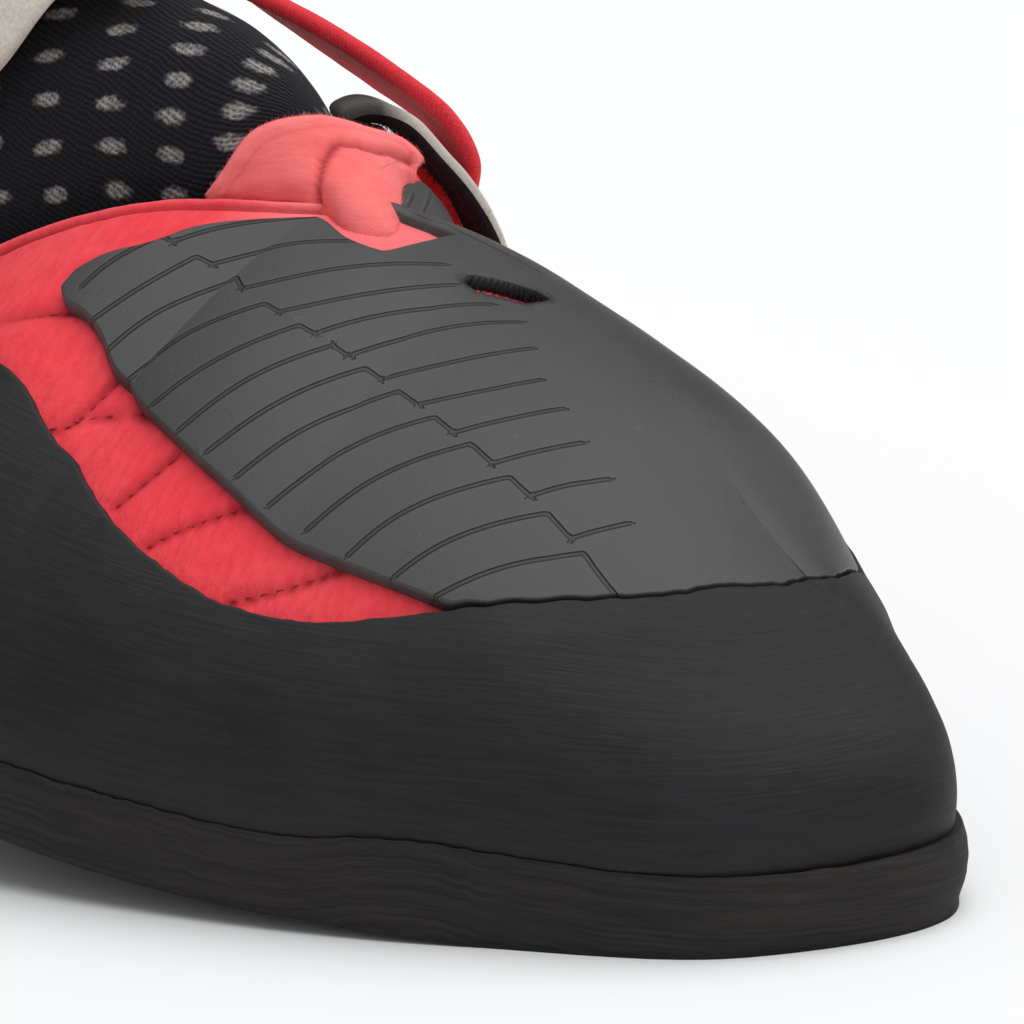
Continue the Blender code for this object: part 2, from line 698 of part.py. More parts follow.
def main():
    for obj in list(bpy.data.objects):
        bpy.data.objects.remove(obj, do_unlink=True)
    make_outsole(material("sole_rubber", (44, 43, 42), 0.8))
    make_upper(material("red_suede", (225, 66, 74), 0.85))
    make_insole(material("footbed", (70, 68, 66), 0.9))
    make_rand(material("rand_rubber", (42, 42, 44), 0.75))
    make_toe_patch(material("patch_rubber", (60, 60, 64), 0.7))
    make_heel_cup(material("heel_rubber", (46, 46, 48), 0.75))
    make_tongue(material("knit", (33, 33, 38), 0.95))
    make_flap(material("flap_suede", (240, 84, 90), 0.85))
    strap = [[rest_on_tongue(p, STRAP_LIFT) for p in row] for row in ribbon_grid(STRAP, STRAP_ACROSS)]
    sheet("strap", material("strap_red", (205, 45, 56), 0.8), strap, STRAP_THICK)
    tab = [[rest_on_tongue(p, STRAP_LIFT) for p in row]
           for row in ribbon_grid(STRAP[TAB_START:], STRAP_ACROSS, extra=1.2)]
    shift = STRAP_THICK / 2 + GAP + TAB_THICK / 2 + 0.2
    sheet("strap_tab", material("tab_grey", (214, 207, 194), 0.9), tab, TAB_THICK, -shift)
    sheet("strap_anchor", material("anchor_black", (45, 44, 46), 0.9), ribbon_grid(ANCHOR, 3), ANCHOR_THICK)
    pad = material("pad_black", (38, 38, 40), 0.95)
    patch("hook_pad", pad, OUTER, (0.375, 0.475), (0.64, 0.90), 5, 3, GAP, GAP + PAD_THICK)
    loop = material("loop_black", (40, 40, 42), 0.85)
    make_pull_loop("pull_loop_outer", loop, -7.0)
    make_pull_loop("pull_loop_inner", loop, 7.0)


if __name__ == "__main__":
    main()
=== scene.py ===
"""Looks of a right climbing shoe: soft suede upper, black rubber rand and grooved toe patch.

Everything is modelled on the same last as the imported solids. Tables are in millimetres: toe along +X,
inner (big toe) side along +Y, up along +Z, with the origin under the middle of the heel.
"""

import logging
import math
from dataclasses import dataclass
from enum import Enum, IntEnum
from typing import Callable, Dict, List, Optional, Sequence, Tuple, Union

import bpy
import numpy as np
from mathutils import Matrix, Vector, kdtree, noise


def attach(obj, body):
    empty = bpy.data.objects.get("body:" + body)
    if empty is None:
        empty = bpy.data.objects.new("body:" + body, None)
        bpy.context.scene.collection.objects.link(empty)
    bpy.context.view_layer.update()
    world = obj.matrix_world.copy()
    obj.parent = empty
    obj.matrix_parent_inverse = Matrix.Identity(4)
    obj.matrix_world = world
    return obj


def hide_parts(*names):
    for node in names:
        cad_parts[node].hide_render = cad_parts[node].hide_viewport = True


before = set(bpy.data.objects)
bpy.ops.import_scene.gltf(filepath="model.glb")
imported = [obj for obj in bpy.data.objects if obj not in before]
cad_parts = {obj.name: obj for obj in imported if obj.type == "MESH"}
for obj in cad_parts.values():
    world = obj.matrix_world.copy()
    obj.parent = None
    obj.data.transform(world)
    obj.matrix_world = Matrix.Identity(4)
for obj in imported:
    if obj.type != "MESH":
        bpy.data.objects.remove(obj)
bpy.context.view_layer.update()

MM = 0.001
THROAT_U = 0.70
LEVEL_RIM = 0.84
GAP = 0.4
WALL = 2.0

LOG = logging.getLogger("shoe")
Height = Callable[["Side", np.ndarray], np.ndarray]
Color = Tuple[float, float, float]
Amount = Union[float, np.ndarray]
Socket = bpy.types.NodeSocket


class Side(IntEnum):
    """Side of the shoe; the outer side faces the camera."""

    OUTER = -1
    INNER = 1


class Wear(Enum):
    """How a rubber surface was worked."""

    BUFFED = "buffed"
    MOULDED = "moulded"
    GROUND = "ground"


# Foot line and wall of each side.
# The wall leaves the foot line by (bulge, rise) and reaches the top by (reach, drop).
#   u, foot x, foot y, foot z, bulge, rise, reach, drop
OUTER_SIDE = [
    (0.000, -28.0, 0.0, 12.0, 9.0, 24.0, -2.0, 26.0),
    (0.045, -24.5, -14.5, 11.5, 8.0, 23.0, -2.0, 24.0),
    (0.100, -12.0, -24.0, 11.0, 6.0, 22.0, -2.0, 22.0),
    (0.220, 20.0, -28.5, 12.0, 4.0, 18.0, -2.0, 18.0),
    (0.390, 65.0, -33.0, 20.0, 3.0, 14.0, -1.0, 14.0),
    (0.540, 105.0, -40.0, 23.0, 3.0, 14.0, 4.0, 10.0),
    (0.665, 137.5, -51.0, 17.1, 4.0, 18.0, 14.0, 2.0),
    (0.800, 173.0, -38.0, 10.9, 3.0, 18.0, 26.0, 0.0),
    (0.895, 196.0, -22.0, 9.5, 3.0, 15.0, 22.0, 0.0),
    (0.955, 215.5, -3.5, 8.6, 3.0, 13.0, 15.0, 0.0),
    (1.000, 220.2, 18.0, 9.1, 2.2, 11.8, 12.6, 0.0),
]
INNER_SIDE = [
    (0.000, -28.0, 0.0, 12.0, 9.0, 24.0, -2.0, 26.0),
    (0.045, -24.5, 14.5, 11.5, 8.0, 23.0, -2.0, 24.0),
    (0.100, -12.0, 23.5, 11.0, 6.0, 22.0, -2.0, 22.0),
    (0.220, 25.0, 25.5, 13.0, 4.0, 16.0, -2.0, 16.0),
    (0.390, 70.0, 25.5, 23.5, 3.0, 16.0, 1.0, 14.0),
    (0.540, 98.0, 30.0, 26.0, 3.0, 18.0, 6.0, 9.0),
    (0.665, 124.0, 38.5, 22.5, 2.0, 20.0, 13.0, 4.0),
    (0.800, 161.5, 41.2, 13.6, 2.7, 18.3, 13.0, 0.0),
    (0.895, 185.0, 37.4, 9.5, 2.5, 17.8, 15.5, 0.0),
    (0.955, 204.5, 29.0, 8.8, 2.4, 14.5, 10.0, 0.0),
    (1.000, 220.2, 18.0, 9.1, 2.2, 11.8, 12.6, 0.0),
]
# Collar edge of each side up to the throat, and the ridge from the throat to the toe's dome: u, x, y, z
OUTER_COLLAR = [
    (0.000, -21.0, 0.0, 82.0),
    (0.045, -18.5, -11.5, 80.5),
    (0.100, -9.5, -19.5, 74.5),
    (0.220, 18.0, -25.0, 62.0),
    (0.390, 60.0, -29.0, 55.0),
    (0.540, 98.0, -26.2, 51.5),
    (0.665, 131.0, -4.5, 63.2),
    (0.700, 140.5, 9.0, 61.8),
]
INNER_COLLAR = [
    (0.000, -21.0, 0.0, 82.0),
    (0.045, -18.5, 11.5, 80.5),
    (0.100, -9.5, 20.0, 74.5),
    (0.220, 33.0, 27.0, 58.5),
    (0.390, 78.0, 27.0, 59.0),
    (0.540, 106.0, 25.5, 62.5),
    (0.665, 130.0, 20.5, 64.5),
    (0.700, 140.5, 9.0, 61.8),
]
RIDGE = [
    (0.700, 140.5, 9.0, 61.8),
    (0.800, 154.0, 16.0, 56.4),
    (0.895, 178.0, 17.8, 46.8),
    (0.955, 187.6, 17.6, 40.8),
    (1.000, 192.0, 17.2, 37.4),
]
# Height of the sole's tread above the floor along its middle: u, z
TREAD_LINE = [
    (0.00, 0.6), (0.04, 0.0), (0.16, 0.0), (0.25, 1.8), (0.39, 10.5), (0.54, 15.6),
    (0.665, 10.6), (0.76, 3.4), (0.84, 0.0), (1.00, 0.0),
]
# Top edge of the rand: u, v on the outer side, v on the inner side
RAND_TOP = [
    (0.000, 0.400, 0.400), (0.100, 0.400, 0.400), (0.220, 0.440, 0.440), (0.390, 0.510, 0.450),
    (0.540, 0.590, 0.430), (0.625, 0.590, 0.405), (0.657, 0.545, 0.395), (0.692, 0.445, 0.380),
    (0.754, 0.355, 0.355), (0.787, 0.335, 0.350), (0.816, 0.345, 0.360), (0.868, 0.430, 0.430),
    (0.925, 0.585, 0.425), (0.957, 0.682, 0.555), (1.000, 0.765, 0.765),
]
# Toe patch, its lower and its upper edge on each side: u, low v, high v
PATCH_OUTER = [
    (0.654, 0.690, 0.725), (0.659, 0.662, 0.762), (0.668, 0.640, 0.790), (0.677, 0.610, 0.840),
    (0.692, 0.550, 0.868), (0.704, 0.525, 0.880), (0.734, 0.498, 0.862), (0.753, 0.482, 0.870),
    (0.764, 0.473, 0.940), (0.770, 0.468, 1.000), (0.809, 0.437, 1.000), (0.868, 0.439, 1.000),
]
PATCH_INNER = [
    (0.676, 0.700, 0.830), (0.681, 0.655, 0.890), (0.690, 0.610, 0.935), (0.700, 0.565, 1.000),
    (0.734, 0.510, 1.000), (0.770, 0.475, 1.000), (0.809, 0.445, 1.000), (0.868, 0.439, 1.000),
]
# Grooves of the patch from its outer edge over a step to the ridge, as u and v of six points:
#   edge, bend, top of the step, foot of the step, rise, end
GROOVES = [
    ((0.662, 0.685), (0.664, 0.740), (0.670, 0.800), (0.675, 0.785), (0.685, 0.835), (0.704, 0.880)),
    ((0.673, 0.620), (0.678, 0.680), (0.685, 0.755), (0.691, 0.740), (0.709, 0.800), (0.740, 0.862)),
    ((0.685, 0.580), (0.690, 0.650), (0.703, 0.718), (0.712, 0.706), (0.738, 0.775), (0.786, 0.915)),
    ((0.698, 0.540), (0.707, 0.620), (0.730, 0.700), (0.740, 0.698), (0.761, 0.760), (0.799, 0.895)),
    ((0.718, 0.520), (0.730, 0.600), (0.754, 0.695), (0.763, 0.695), (0.787, 0.790), (0.820, 0.905)),
    ((0.737, 0.505), (0.751, 0.600), (0.774, 0.695), (0.783, 0.695), (0.806, 0.795), (0.835, 0.910)),
    ((0.754, 0.495), (0.770, 0.595), (0.793, 0.695), (0.803, 0.695), (0.825, 0.780), (0.846, 0.880)),
    ((0.771, 0.483), (0.787, 0.585), (0.813, 0.693), (0.823, 0.690), (0.841, 0.760), (0.857, 0.840)),
    ((0.789, 0.470), (0.806, 0.578), (0.832, 0.687), (0.842, 0.681), (0.857, 0.750), (0.871, 0.820)),
    ((0.808, 0.460), (0.824, 0.565), (0.850, 0.680), (0.861, 0.670), (0.873, 0.730), (0.885, 0.790)),
    ((0.828, 0.450), (0.842, 0.547), (0.869, 0.665), (0.879, 0.655), (0.889, 0.710), (0.901, 0.765)),
    ((0.848, 0.448), (0.862, 0.537), (0.887, 0.645), (0.898, 0.627), (0.906, 0.670), (0.914, 0.710)),
    ((0.865, 0.445), (0.881, 0.525), (0.904, 0.615), (0.919, 0.560), (0.921, 0.555), (0.923, 0.550)),
]
# Grooves on the patch's inner wing, from its edge over the ridge: u and v of four points
WING_GROOVES = [
    ((0.680, 0.790), (0.722, 0.830), (0.765, 0.820), (0.800, 0.800)),
    ((0.688, 0.860), (0.730, 0.890), (0.768, 0.870), (0.800, 0.840)),
    ((0.694, 0.930), (0.735, 0.945), (0.773, 0.925), (0.804, 0.880)),
    ((0.706, 0.986), (0.748, 0.990), (0.780, 0.976), (0.812, 0.930)),
    ((0.690, 0.600), (0.728, 0.660), (0.780, 0.745), (0.828, 0.820)),
    ((0.716, 0.545), (0.756, 0.615), (0.806, 0.700), (0.850, 0.770)),
    ((0.746, 0.505), (0.788, 0.585), (0.834, 0.665), (0.872, 0.730)),
    ((0.780, 0.470), (0.820, 0.550), (0.862, 0.630), (0.894, 0.690)),
]
# Slot on the ridge of the patch: side, u, v of its corners
SLOT = [
    (Side.OUTER, 0.799, 0.915), (Side.OUTER, 0.803, 0.930), (Side.OUTER, 0.829, 0.985),
    (Side.OUTER, 0.834, 0.990), (Side.OUTER, 0.829, 0.952), (Side.OUTER, 0.811, 0.920),
]
# Sewn channels of the outer band, each a line from the patch down to the rand: u, v of its points
CHANNELS = [
    ((0.672, 0.660), (0.642, 0.652), (0.600, 0.640), (0.560, 0.632)),
    ((0.692, 0.560), (0.688, 0.485), (0.682, 0.470)),
    ((0.716, 0.520), (0.700, 0.505), (0.688, 0.485)),
    ((0.739, 0.492), (0.731, 0.435), (0.726, 0.400)),
    ((0.782, 0.476), (0.766, 0.430), (0.753, 0.390), (0.747, 0.365)),
    ((0.828, 0.450), (0.812, 0.398), (0.788, 0.340)),
]
# Tongue along its middle: x, y, z, half width, fall at the edges
TONGUE = [
    (152.0, 12.2, 52.6, 5.5, 2.6), (146.0, 10.6, 54.4, 6.2, 3.6), (140.8, 8.2, 55.8, 6.4, 5.0),
    (136.8, 8.0, 59.5, 5.6, 6.4), (132.8, 7.8, 65.8, 7.1, 8.4), (127.0, 7.0, 73.6, 10.2, 14.0),
    (119.0, 5.4, 78.6, 14.6, 21.5), (109.0, 3.0, 81.6, 18.0, 29.0), (97.0, 0.5, 84.6, 20.5, 35.0),
    (84.0, -0.2, 88.8, 20.6, 38.0), (70.0, -0.2, 95.2, 21.4, 40.0),
]
TONGUE_TURN = 1.35
# Strap: front edge x, y, z and the way to its rear edge dx, dy, dz, from the inner to the outer side
STRAP = [
    (122.0, 38.8, 47.0, -12.0, -1.6, 0.6), (122.8, 38.8, 51.5, -12.0, -2.2, 0.2),
    (124.0, 39.0, 55.8, -12.0, 0.5, 0.0), (124.6, 38.4, 60.0, -12.2, 5.0, -0.6),
    (123.4, 35.2, 65.6, -13.4, 9.0, -4.0), (120.6, 29.4, 71.0, -15.0, 11.0, -5.4),
    (117.4, 22.6, 76.2, -17.0, 12.0, -5.0), (113.4, 14.4, 81.2, -18.5, 12.0, -2.0),
    (109.0, 5.6, 84.4, -20.0, 11.0, 8.5), (104.4, -4.0, 82.2, -21.0, 9.0, 12.0),
    (100.0, -13.0, 76.4, -22.0, 5.0, 12.5), (96.2, -21.0, 69.2, -23.0, 0.5, 10.0),
    (92.4, -28.4, 60.2, -23.5, -0.8, 6.0), (88.4, -33.6, 50.0, -23.0, 1.0, 3.6),
    (86.6, -36.6, 42.5, -23.0, 2.4, 2.6),
]
STRAP_LIFT = 4.1
TAB_START = 8
# Curl at the strap's fixed end: front edge x, y, z and the way to its rear edge dx, dy, dz
ANCHOR = [
    (131.5, 38.6, 46.0, -5.5, -0.4, 0.3), (130.8, 37.0, 52.0, -5.5, 0.2, 0.2),
    (129.8, 34.0, 57.5, -6.5, 1.6, 0.2), (128.2, 30.8, 61.9, -7.5, 2.4, -0.2),
    (125.8, 28.0, 65.8, -7.5, 3.0, -0.6), (123.6, 24.6, 67.2, -7.0, 3.0, -0.3),
    (122.2, 21.6, 66.4, -6.5, 3.0, -0.4),
]
# Flap over the throat, in columns from the outer to the inner side; each rises from its foot to its rim
FLAP = [
    [(129.2, -3.9, 62.8), (129.2, -3.9, 63.0), (129.2, -4.0, 63.2), (129.2, -4.0, 63.4)],
    [(131.2, -2.1, 63.6), (130.8, -2.1, 64.4), (130.4, -2.1, 65.2), (130.0, -2.0, 66.0)],
    [(133.4, 0.4, 64.6), (132.5, 0.5, 66.3), (131.8, 0.5, 68.0), (131.0, 0.5, 69.6)],
    [(135.4, 2.8, 64.6), (134.2, 3.3, 66.8), (133.1, 3.5, 68.9), (132.0, 3.6, 71.0)],
    [(138.0, 4.8, 64.4), (135.6, 6.4, 66.6), (134.1, 7.2, 68.9), (132.6, 7.9, 71.0)],
    [(141.0, 5.6, 64.2), (138.2, 8.0, 65.6), (135.6, 9.8, 67.8), (132.6, 11.5, 70.0)],
    [(140.9, 8.8, 64.0), (138.6, 10.8, 65.3), (135.8, 13.0, 67.2), (132.6, 15.2, 68.4)],
    [(138.6, 12.8, 64.3), (136.6, 15.0, 65.3), (134.5, 17.3, 66.2), (132.2, 19.6, 66.8)],
    [(135.9, 17.4, 64.2), (134.9, 19.2, 64.7), (133.8, 20.8, 65.0), (132.4, 22.3, 65.1)],
    [(134.4, 21.8, 63.2), (133.8, 22.7, 63.3), (133.0, 23.6, 63.2), (132.0, 24.4, 63.0)],
]
# Where each of the flap's columns goes down into the vamp
FLAP_ROOT = [
    (129.2, -3.8, 62.2), (131.4, -1.9, 62.2), (133.8, 0.7, 62.0), (135.9, 3.0, 61.8), (139.0, 4.2, 61.2),
    (143.6, 4.2, 60.2), (146.0, 6.6, 59.6), (145.4, 10.0, 59.8), (137.2, 17.4, 61.4), (134.4, 21.4, 61.4),
]
# Crease where the flap's end curls over the vamp: column and height on the flap, from the band upwards
FLAP_CREASE = [
    (4.0, 0.4), (4.1, 1.3), (4.45, 2.3), (4.9, 2.9), (5.7, 2.9), (6.6, 2.6), (7.6, 2.2), (8.6, 1.6),
]
# How far the sole's top edge rises above the foot line on the outer side: u, rise
SOLE_SEAM = [
    (0.00, 0.0), (0.66, 0.3), (0.73, 0.8), (0.78, 1.0), (0.82, 0.8), (0.84, 1.1), (0.86, 1.9), (0.88, 2.1),
    (0.90, 1.5), (0.92, 1.1), (0.94, 0.8), (0.96, 0.7), (0.98, 0.5), (1.00, 0.3),
]
# How far the strap's pale end shows past its front edge, row by row
TAB_SHOWS = (8.6, 8.4, 6.6, 2.4, 1.2, 1.2, 1.2)


class Track:
    """Smooth curve through the rows of a table whose first column is the parameter."""

    def __init__(self, rows: Sequence[Sequence[float]], monotone: bool = False) -> None:
        """Works out the slope at each row.

        Args:
            rows: parameter and values, in rising order of the parameter.
            monotone: keep the curve from swinging past its rows.
        """
        table = np.array(rows, float)
        self.u = table[:, 0]
        self.value = table[:, 1:]
        step = np.diff(self.u)[:, None]
        rate = np.diff(self.value, axis=0) / step
        slope = np.empty_like(self.value)
        if monotone:
            near = 2.0 * step[1:] + step[:-1]
            far = step[1:] + 2.0 * step[:-1]
            same_way = rate[:-1] * rate[1:] > 0.0
            before = np.where(same_way, rate[:-1], 1.0)
            after = np.where(same_way, rate[1:], 1.0)
            slope[1:-1] = np.where(same_way, (near + far) / (near / before + far / after), 0.0)
        else:
            slope[1:-1] = (step[1:] * rate[:-1] + step[:-1] * rate[1:]) / (step[1:] + step[:-1])
        slope[0] = 1.5 * rate[0] - 0.5 * slope[1]
        slope[-1] = 1.5 * rate[-1] - 0.5 * slope[-2]
        self.slope = slope

    def locate(self, u: np.ndarray) -> Tuple[np.ndarray, np.ndarray, np.ndarray]:
        """Returns the row before u, the step to the next row and the share of that step."""
        u = np.clip(np.asarray(u, float), self.u[0], self.u[-1])
        row = np.clip(np.searchsorted(self.u, u, side="right") - 1, 0, len(self.u) - 2)
        step = (self.u[row + 1] - self.u[row])[..., None]
        share = (u - self.u[row])[..., None] / step
        return row, step, share

    def at(self, u: np.ndarray) -> np.ndarray:
        """Returns the values at u."""
        row, step, t = self.locate(u)
        near = self.value[row]
        far = self.value[row + 1]
        start = (2 * t ** 3 - 3 * t ** 2 + 1) * near + (t ** 3 - 2 * t ** 2 + t) * step * self.slope[row]
        end = (3 * t ** 2 - 2 * t ** 3) * far + (t ** 3 - t ** 2) * step * self.slope[row + 1]
        return start + end

    def rate(self, u: np.ndarray) -> np.ndarray:
        """Returns how fast the values change at u."""
        row, step, t = self.locate(u)
        change = (6 * t ** 2 - 6 * t) * (self.value[row] - self.value[row + 1]) / step
        slopes = (3 * t ** 2 - 4 * t + 1) * self.slope[row] + (3 * t ** 2 - 2 * t) * self.slope[row + 1]
        return change + slopes


class Last:
    """Outside of the upper as a surface over side, u along the shoe and v up the wall."""

    def __init__(self) -> None:
        """Reads the tables of both sides."""
        self.foot: Dict[Side, Track] = {}
        self.wall: Dict[Side, Track] = {}
        for side, rows, other in (
            (Side.OUTER, OUTER_SIDE, INNER_SIDE),
            (Side.INNER, INNER_SIDE, OUTER_SIDE),
        ):
            # One row of the other side past each end keeps the foot line round at heel and toe.
            before = (-other[1][0],) + other[1][1:4]
            after = (2.0 - other[-2][0],) + other[-2][1:4]
            self.foot[side] = Track([before] + [row[:4] for row in rows] + [after])
            self.wall[side] = Track([(row[0],) + row[4:] for row in rows], monotone=True)
        self.collar = {Side.OUTER: Track(OUTER_COLLAR), Side.INNER: Track(INNER_COLLAR)}
        self.ridge = Track(RIDGE, monotone=True)
        self.rand_edge = Track(RAND_TOP, monotone=True)
        self.tread = Track(TREAD_LINE, monotone=True)

    def top(self, side: Side, u: np.ndarray) -> np.ndarray:
        """Returns the collar edge behind the throat and the ridge in front of it."""
        behind = (np.asarray(u, float) < THROAT_U)[..., None]
        return np.where(behind, self.collar[side].at(u), self.ridge.at(u))

    def outward(self, side: Side, u: np.ndarray) -> np.ndarray:
        """Returns the level direction away from the shoe, square to the foot line."""
        along = self.foot[side].rate(u)[..., :2]
        away = np.stack([-side * along[..., 1], side * along[..., 0]], axis=-1)
        return away / np.maximum(np.linalg.norm(away, axis=-1, keepdims=True), 1e-9)

    def point(self, side: Side, u: np.ndarray, v: np.ndarray) -> np.ndarray:
        """Returns points of the surface.

        Args:
            side: side of the shoe.
            u: share of the way from heel to toe.
            v: share of the way up the wall.
        """
        u, v = np.broadcast_arrays(np.asarray(u, float), np.asarray(v, float))
        foot = self.foot[side].at(u)
        top = self.top(side, u)
        bulge, rise, reach, drop = np.moveaxis(self.wall[side].at(u), -1, 0)
        across = (foot - top)[..., :2]
        across = across / np.maximum(np.linalg.norm(across, axis=-1, keepdims=True), 1e-9)
        # On the ridge both walls end in one slanted plane that follows the ridge's slope.
        run = self.ridge.rate(np.maximum(u, THROAT_U))
        level = np.maximum(np.linalg.norm(run[..., :2], axis=-1), 1e-9)
        lean = (across * run[..., :2]).sum(-1) / level * run[..., 2] / level
        lean = lean * np.clip((u - 0.6) / 0.1, 0.0, 1.0)
        low = foot + np.concatenate([self.outward(side, u) * bulge[..., None], rise[..., None]], axis=-1)
        high = top + np.concatenate([across * reach[..., None], (lean * reach - drop)[..., None]], axis=-1)
        v = v[..., None]
        return (1 - v) ** 3 * foot + 3 * (1 - v) ** 2 * v * low + 3 * (1 - v) * v ** 2 * high + v ** 3 * top

    def normal(self, side: Side, u: np.ndarray, v: np.ndarray) -> np.ndarray:
        """Returns the outward direction at points of the surface."""
        step = 0.001
        u, v = np.broadcast_arrays(np.asarray(u, float), np.asarray(v, float))
        ahead = self.point(side, np.minimum(u + step, 1.0), v)
        along = ahead - self.point(side, np.maximum(u - step, 0.0), v)
        upper = np.clip(v + step, 0.0, 1.0)
        up = self.point(side, u, upper) - self.point(side, u, upper - 2 * step)
        normal = np.cross(along, up) * -int(side)
        size = np.linalg.norm(normal, axis=-1, keepdims=True)
        return np.where(size > 1e-9, normal / np.maximum(size, 1e-9), (0.0, 0.0, 1.0))

    def offset(self, side: Side, u: np.ndarray, v: np.ndarray, distance: float) -> np.ndarray:
        """Returns points at a distance outside the surface."""
        return self.point(side, u, v) + self.normal(side, u, v) * distance

    def spine(self, u: np.ndarray) -> np.ndarray:
        """Returns the middle line of the sole, drawn in from the heel and the toe."""
        inside = 0.075 + 0.855 * np.asarray(u, float)
        return 0.5 * (self.foot[Side.OUTER].at(inside) + self.foot[Side.INNER].at(inside))

    def floor_point(self, side: Side, u: np.ndarray, share: np.ndarray, over: Amount = 0.0) -> np.ndarray:
        """Returns points of the surface under the foot.

        Args:
            side: side of the shoe.
            u: share of the way from heel to toe.
            share: 0 on the middle line and 1 on the foot line.
            over: how far the edge lies outside the foot line, once or for each u.
        """
        u, share = np.broadcast_arrays(np.asarray(u, float), np.asarray(share, float))
        out = self.outward(side, u) * np.asarray(over, float)[..., None]
        edge = self.foot[side].at(u) + np.concatenate([out, np.zeros(out.shape[:-1] + (1,))], axis=-1)
        middle = self.spine(u)
        point = middle + (edge - middle) * share[..., None]
        # Near the edge the surface is level with the foot line, where the walls stand.
        level = np.maximum(0.0, 1.0 - share / LEVEL_RIM)
        point[..., 2] = edge[..., 2] + (middle[..., 2] - edge[..., 2]) * level
        return point

    def rand_top(self, side: Side, u: np.ndarray) -> np.ndarray:
        """Returns the height v of the rand's top edge."""
        both = self.rand_edge.at(u)
        return both[..., 0] if side == Side.OUTER else both[..., 1]


LAST = Last()


def ragged(u: np.ndarray, pitch: float, seed: int) -> np.ndarray:
    """Returns an uneven line between -1 and 1 along u.

    Args:
        u: places along the line.
        pitch: distance between two of its bends, in the unit of u.
        seed: which line.
    """
    bends = np.random.default_rng(seed).uniform(-1.0, 1.0, 4096)
    return np.interp(np.asarray(u, float) / pitch + 7.0, np.arange(4096), bends)


def patch_seam(side: Side, u: np.ndarray) -> np.ndarray:
    """Returns the height v of the uneven line where the toe patch meets the rand."""
    size = np.where(u > PATCH_OUTER[-1][0], 0.0035, 0.0015)
    return LAST.rand_top(side, u) + size * ragged(u, 0.0035, 21) * (u > 0.6) * (u < 0.999)


def lumps(points: np.ndarray, pitch: float, seed: float = 0.0) -> np.ndarray:
    """Returns soft noise between about -1 and 1 at points in millimetres.

    Args:
        points: places in millimetres.
        pitch: size of a lump in millimetres.
        seed: shift between two patterns.
    """
    shift = Vector((seed, seed * 1.7, -seed))
    return np.array([noise.noise(Vector(p) / pitch + shift) for p in points.tolist()])


def run_along(points: np.ndarray) -> np.ndarray:
    """Returns the distance from the first point along a row of points."""
    return np.concatenate([[0.0], np.cumsum(np.linalg.norm(np.diff(points, axis=0), axis=1))])


def run_across(grid: np.ndarray) -> np.ndarray:
    """Returns the distance from the first point across each row of a grid."""
    steps = np.linalg.norm(np.diff(grid, axis=1), axis=2)
    return np.concatenate([np.zeros((len(grid), 1)), np.cumsum(steps, axis=1)], axis=1)


def grid_faces(rows: int, columns: int, start: int = 0) -> np.ndarray:
    """Returns the corners of each face of a grid of points.

    Args:
        rows: number of rows of points.
        columns: number of points in a row.
        start: number of the grid's first point.
    """
    index = start + np.arange(rows * columns).reshape(rows, columns)
    corners = [index[:-1, :-1], index[1:, :-1], index[1:, 1:], index[:-1, 1:]]
    return np.stack(corners, axis=-1).reshape(-1, 4)


def line_points(points: Sequence[np.ndarray], step: float) -> np.ndarray:
    """Returns points every step along a polyline."""
    path = np.asarray(points, float)
    run = run_along(path)
    at = np.arange(0.0, run[-1] + step * 0.5, step)
    return np.stack([np.interp(at, run, path[:, k]) for k in range(3)], axis=1)


def linked(name: str, data: bpy.types.ID) -> bpy.types.Object:
    """Returns a new object in the scene that shows some data."""
    obj = bpy.data.objects.new(name, data)
    bpy.context.scene.collection.objects.link(obj)
    return obj


def shaded(color: Color, factor: float) -> Color:
    """Returns a colour made darker or lighter by a factor."""
    return tuple(factor * c for c in color)


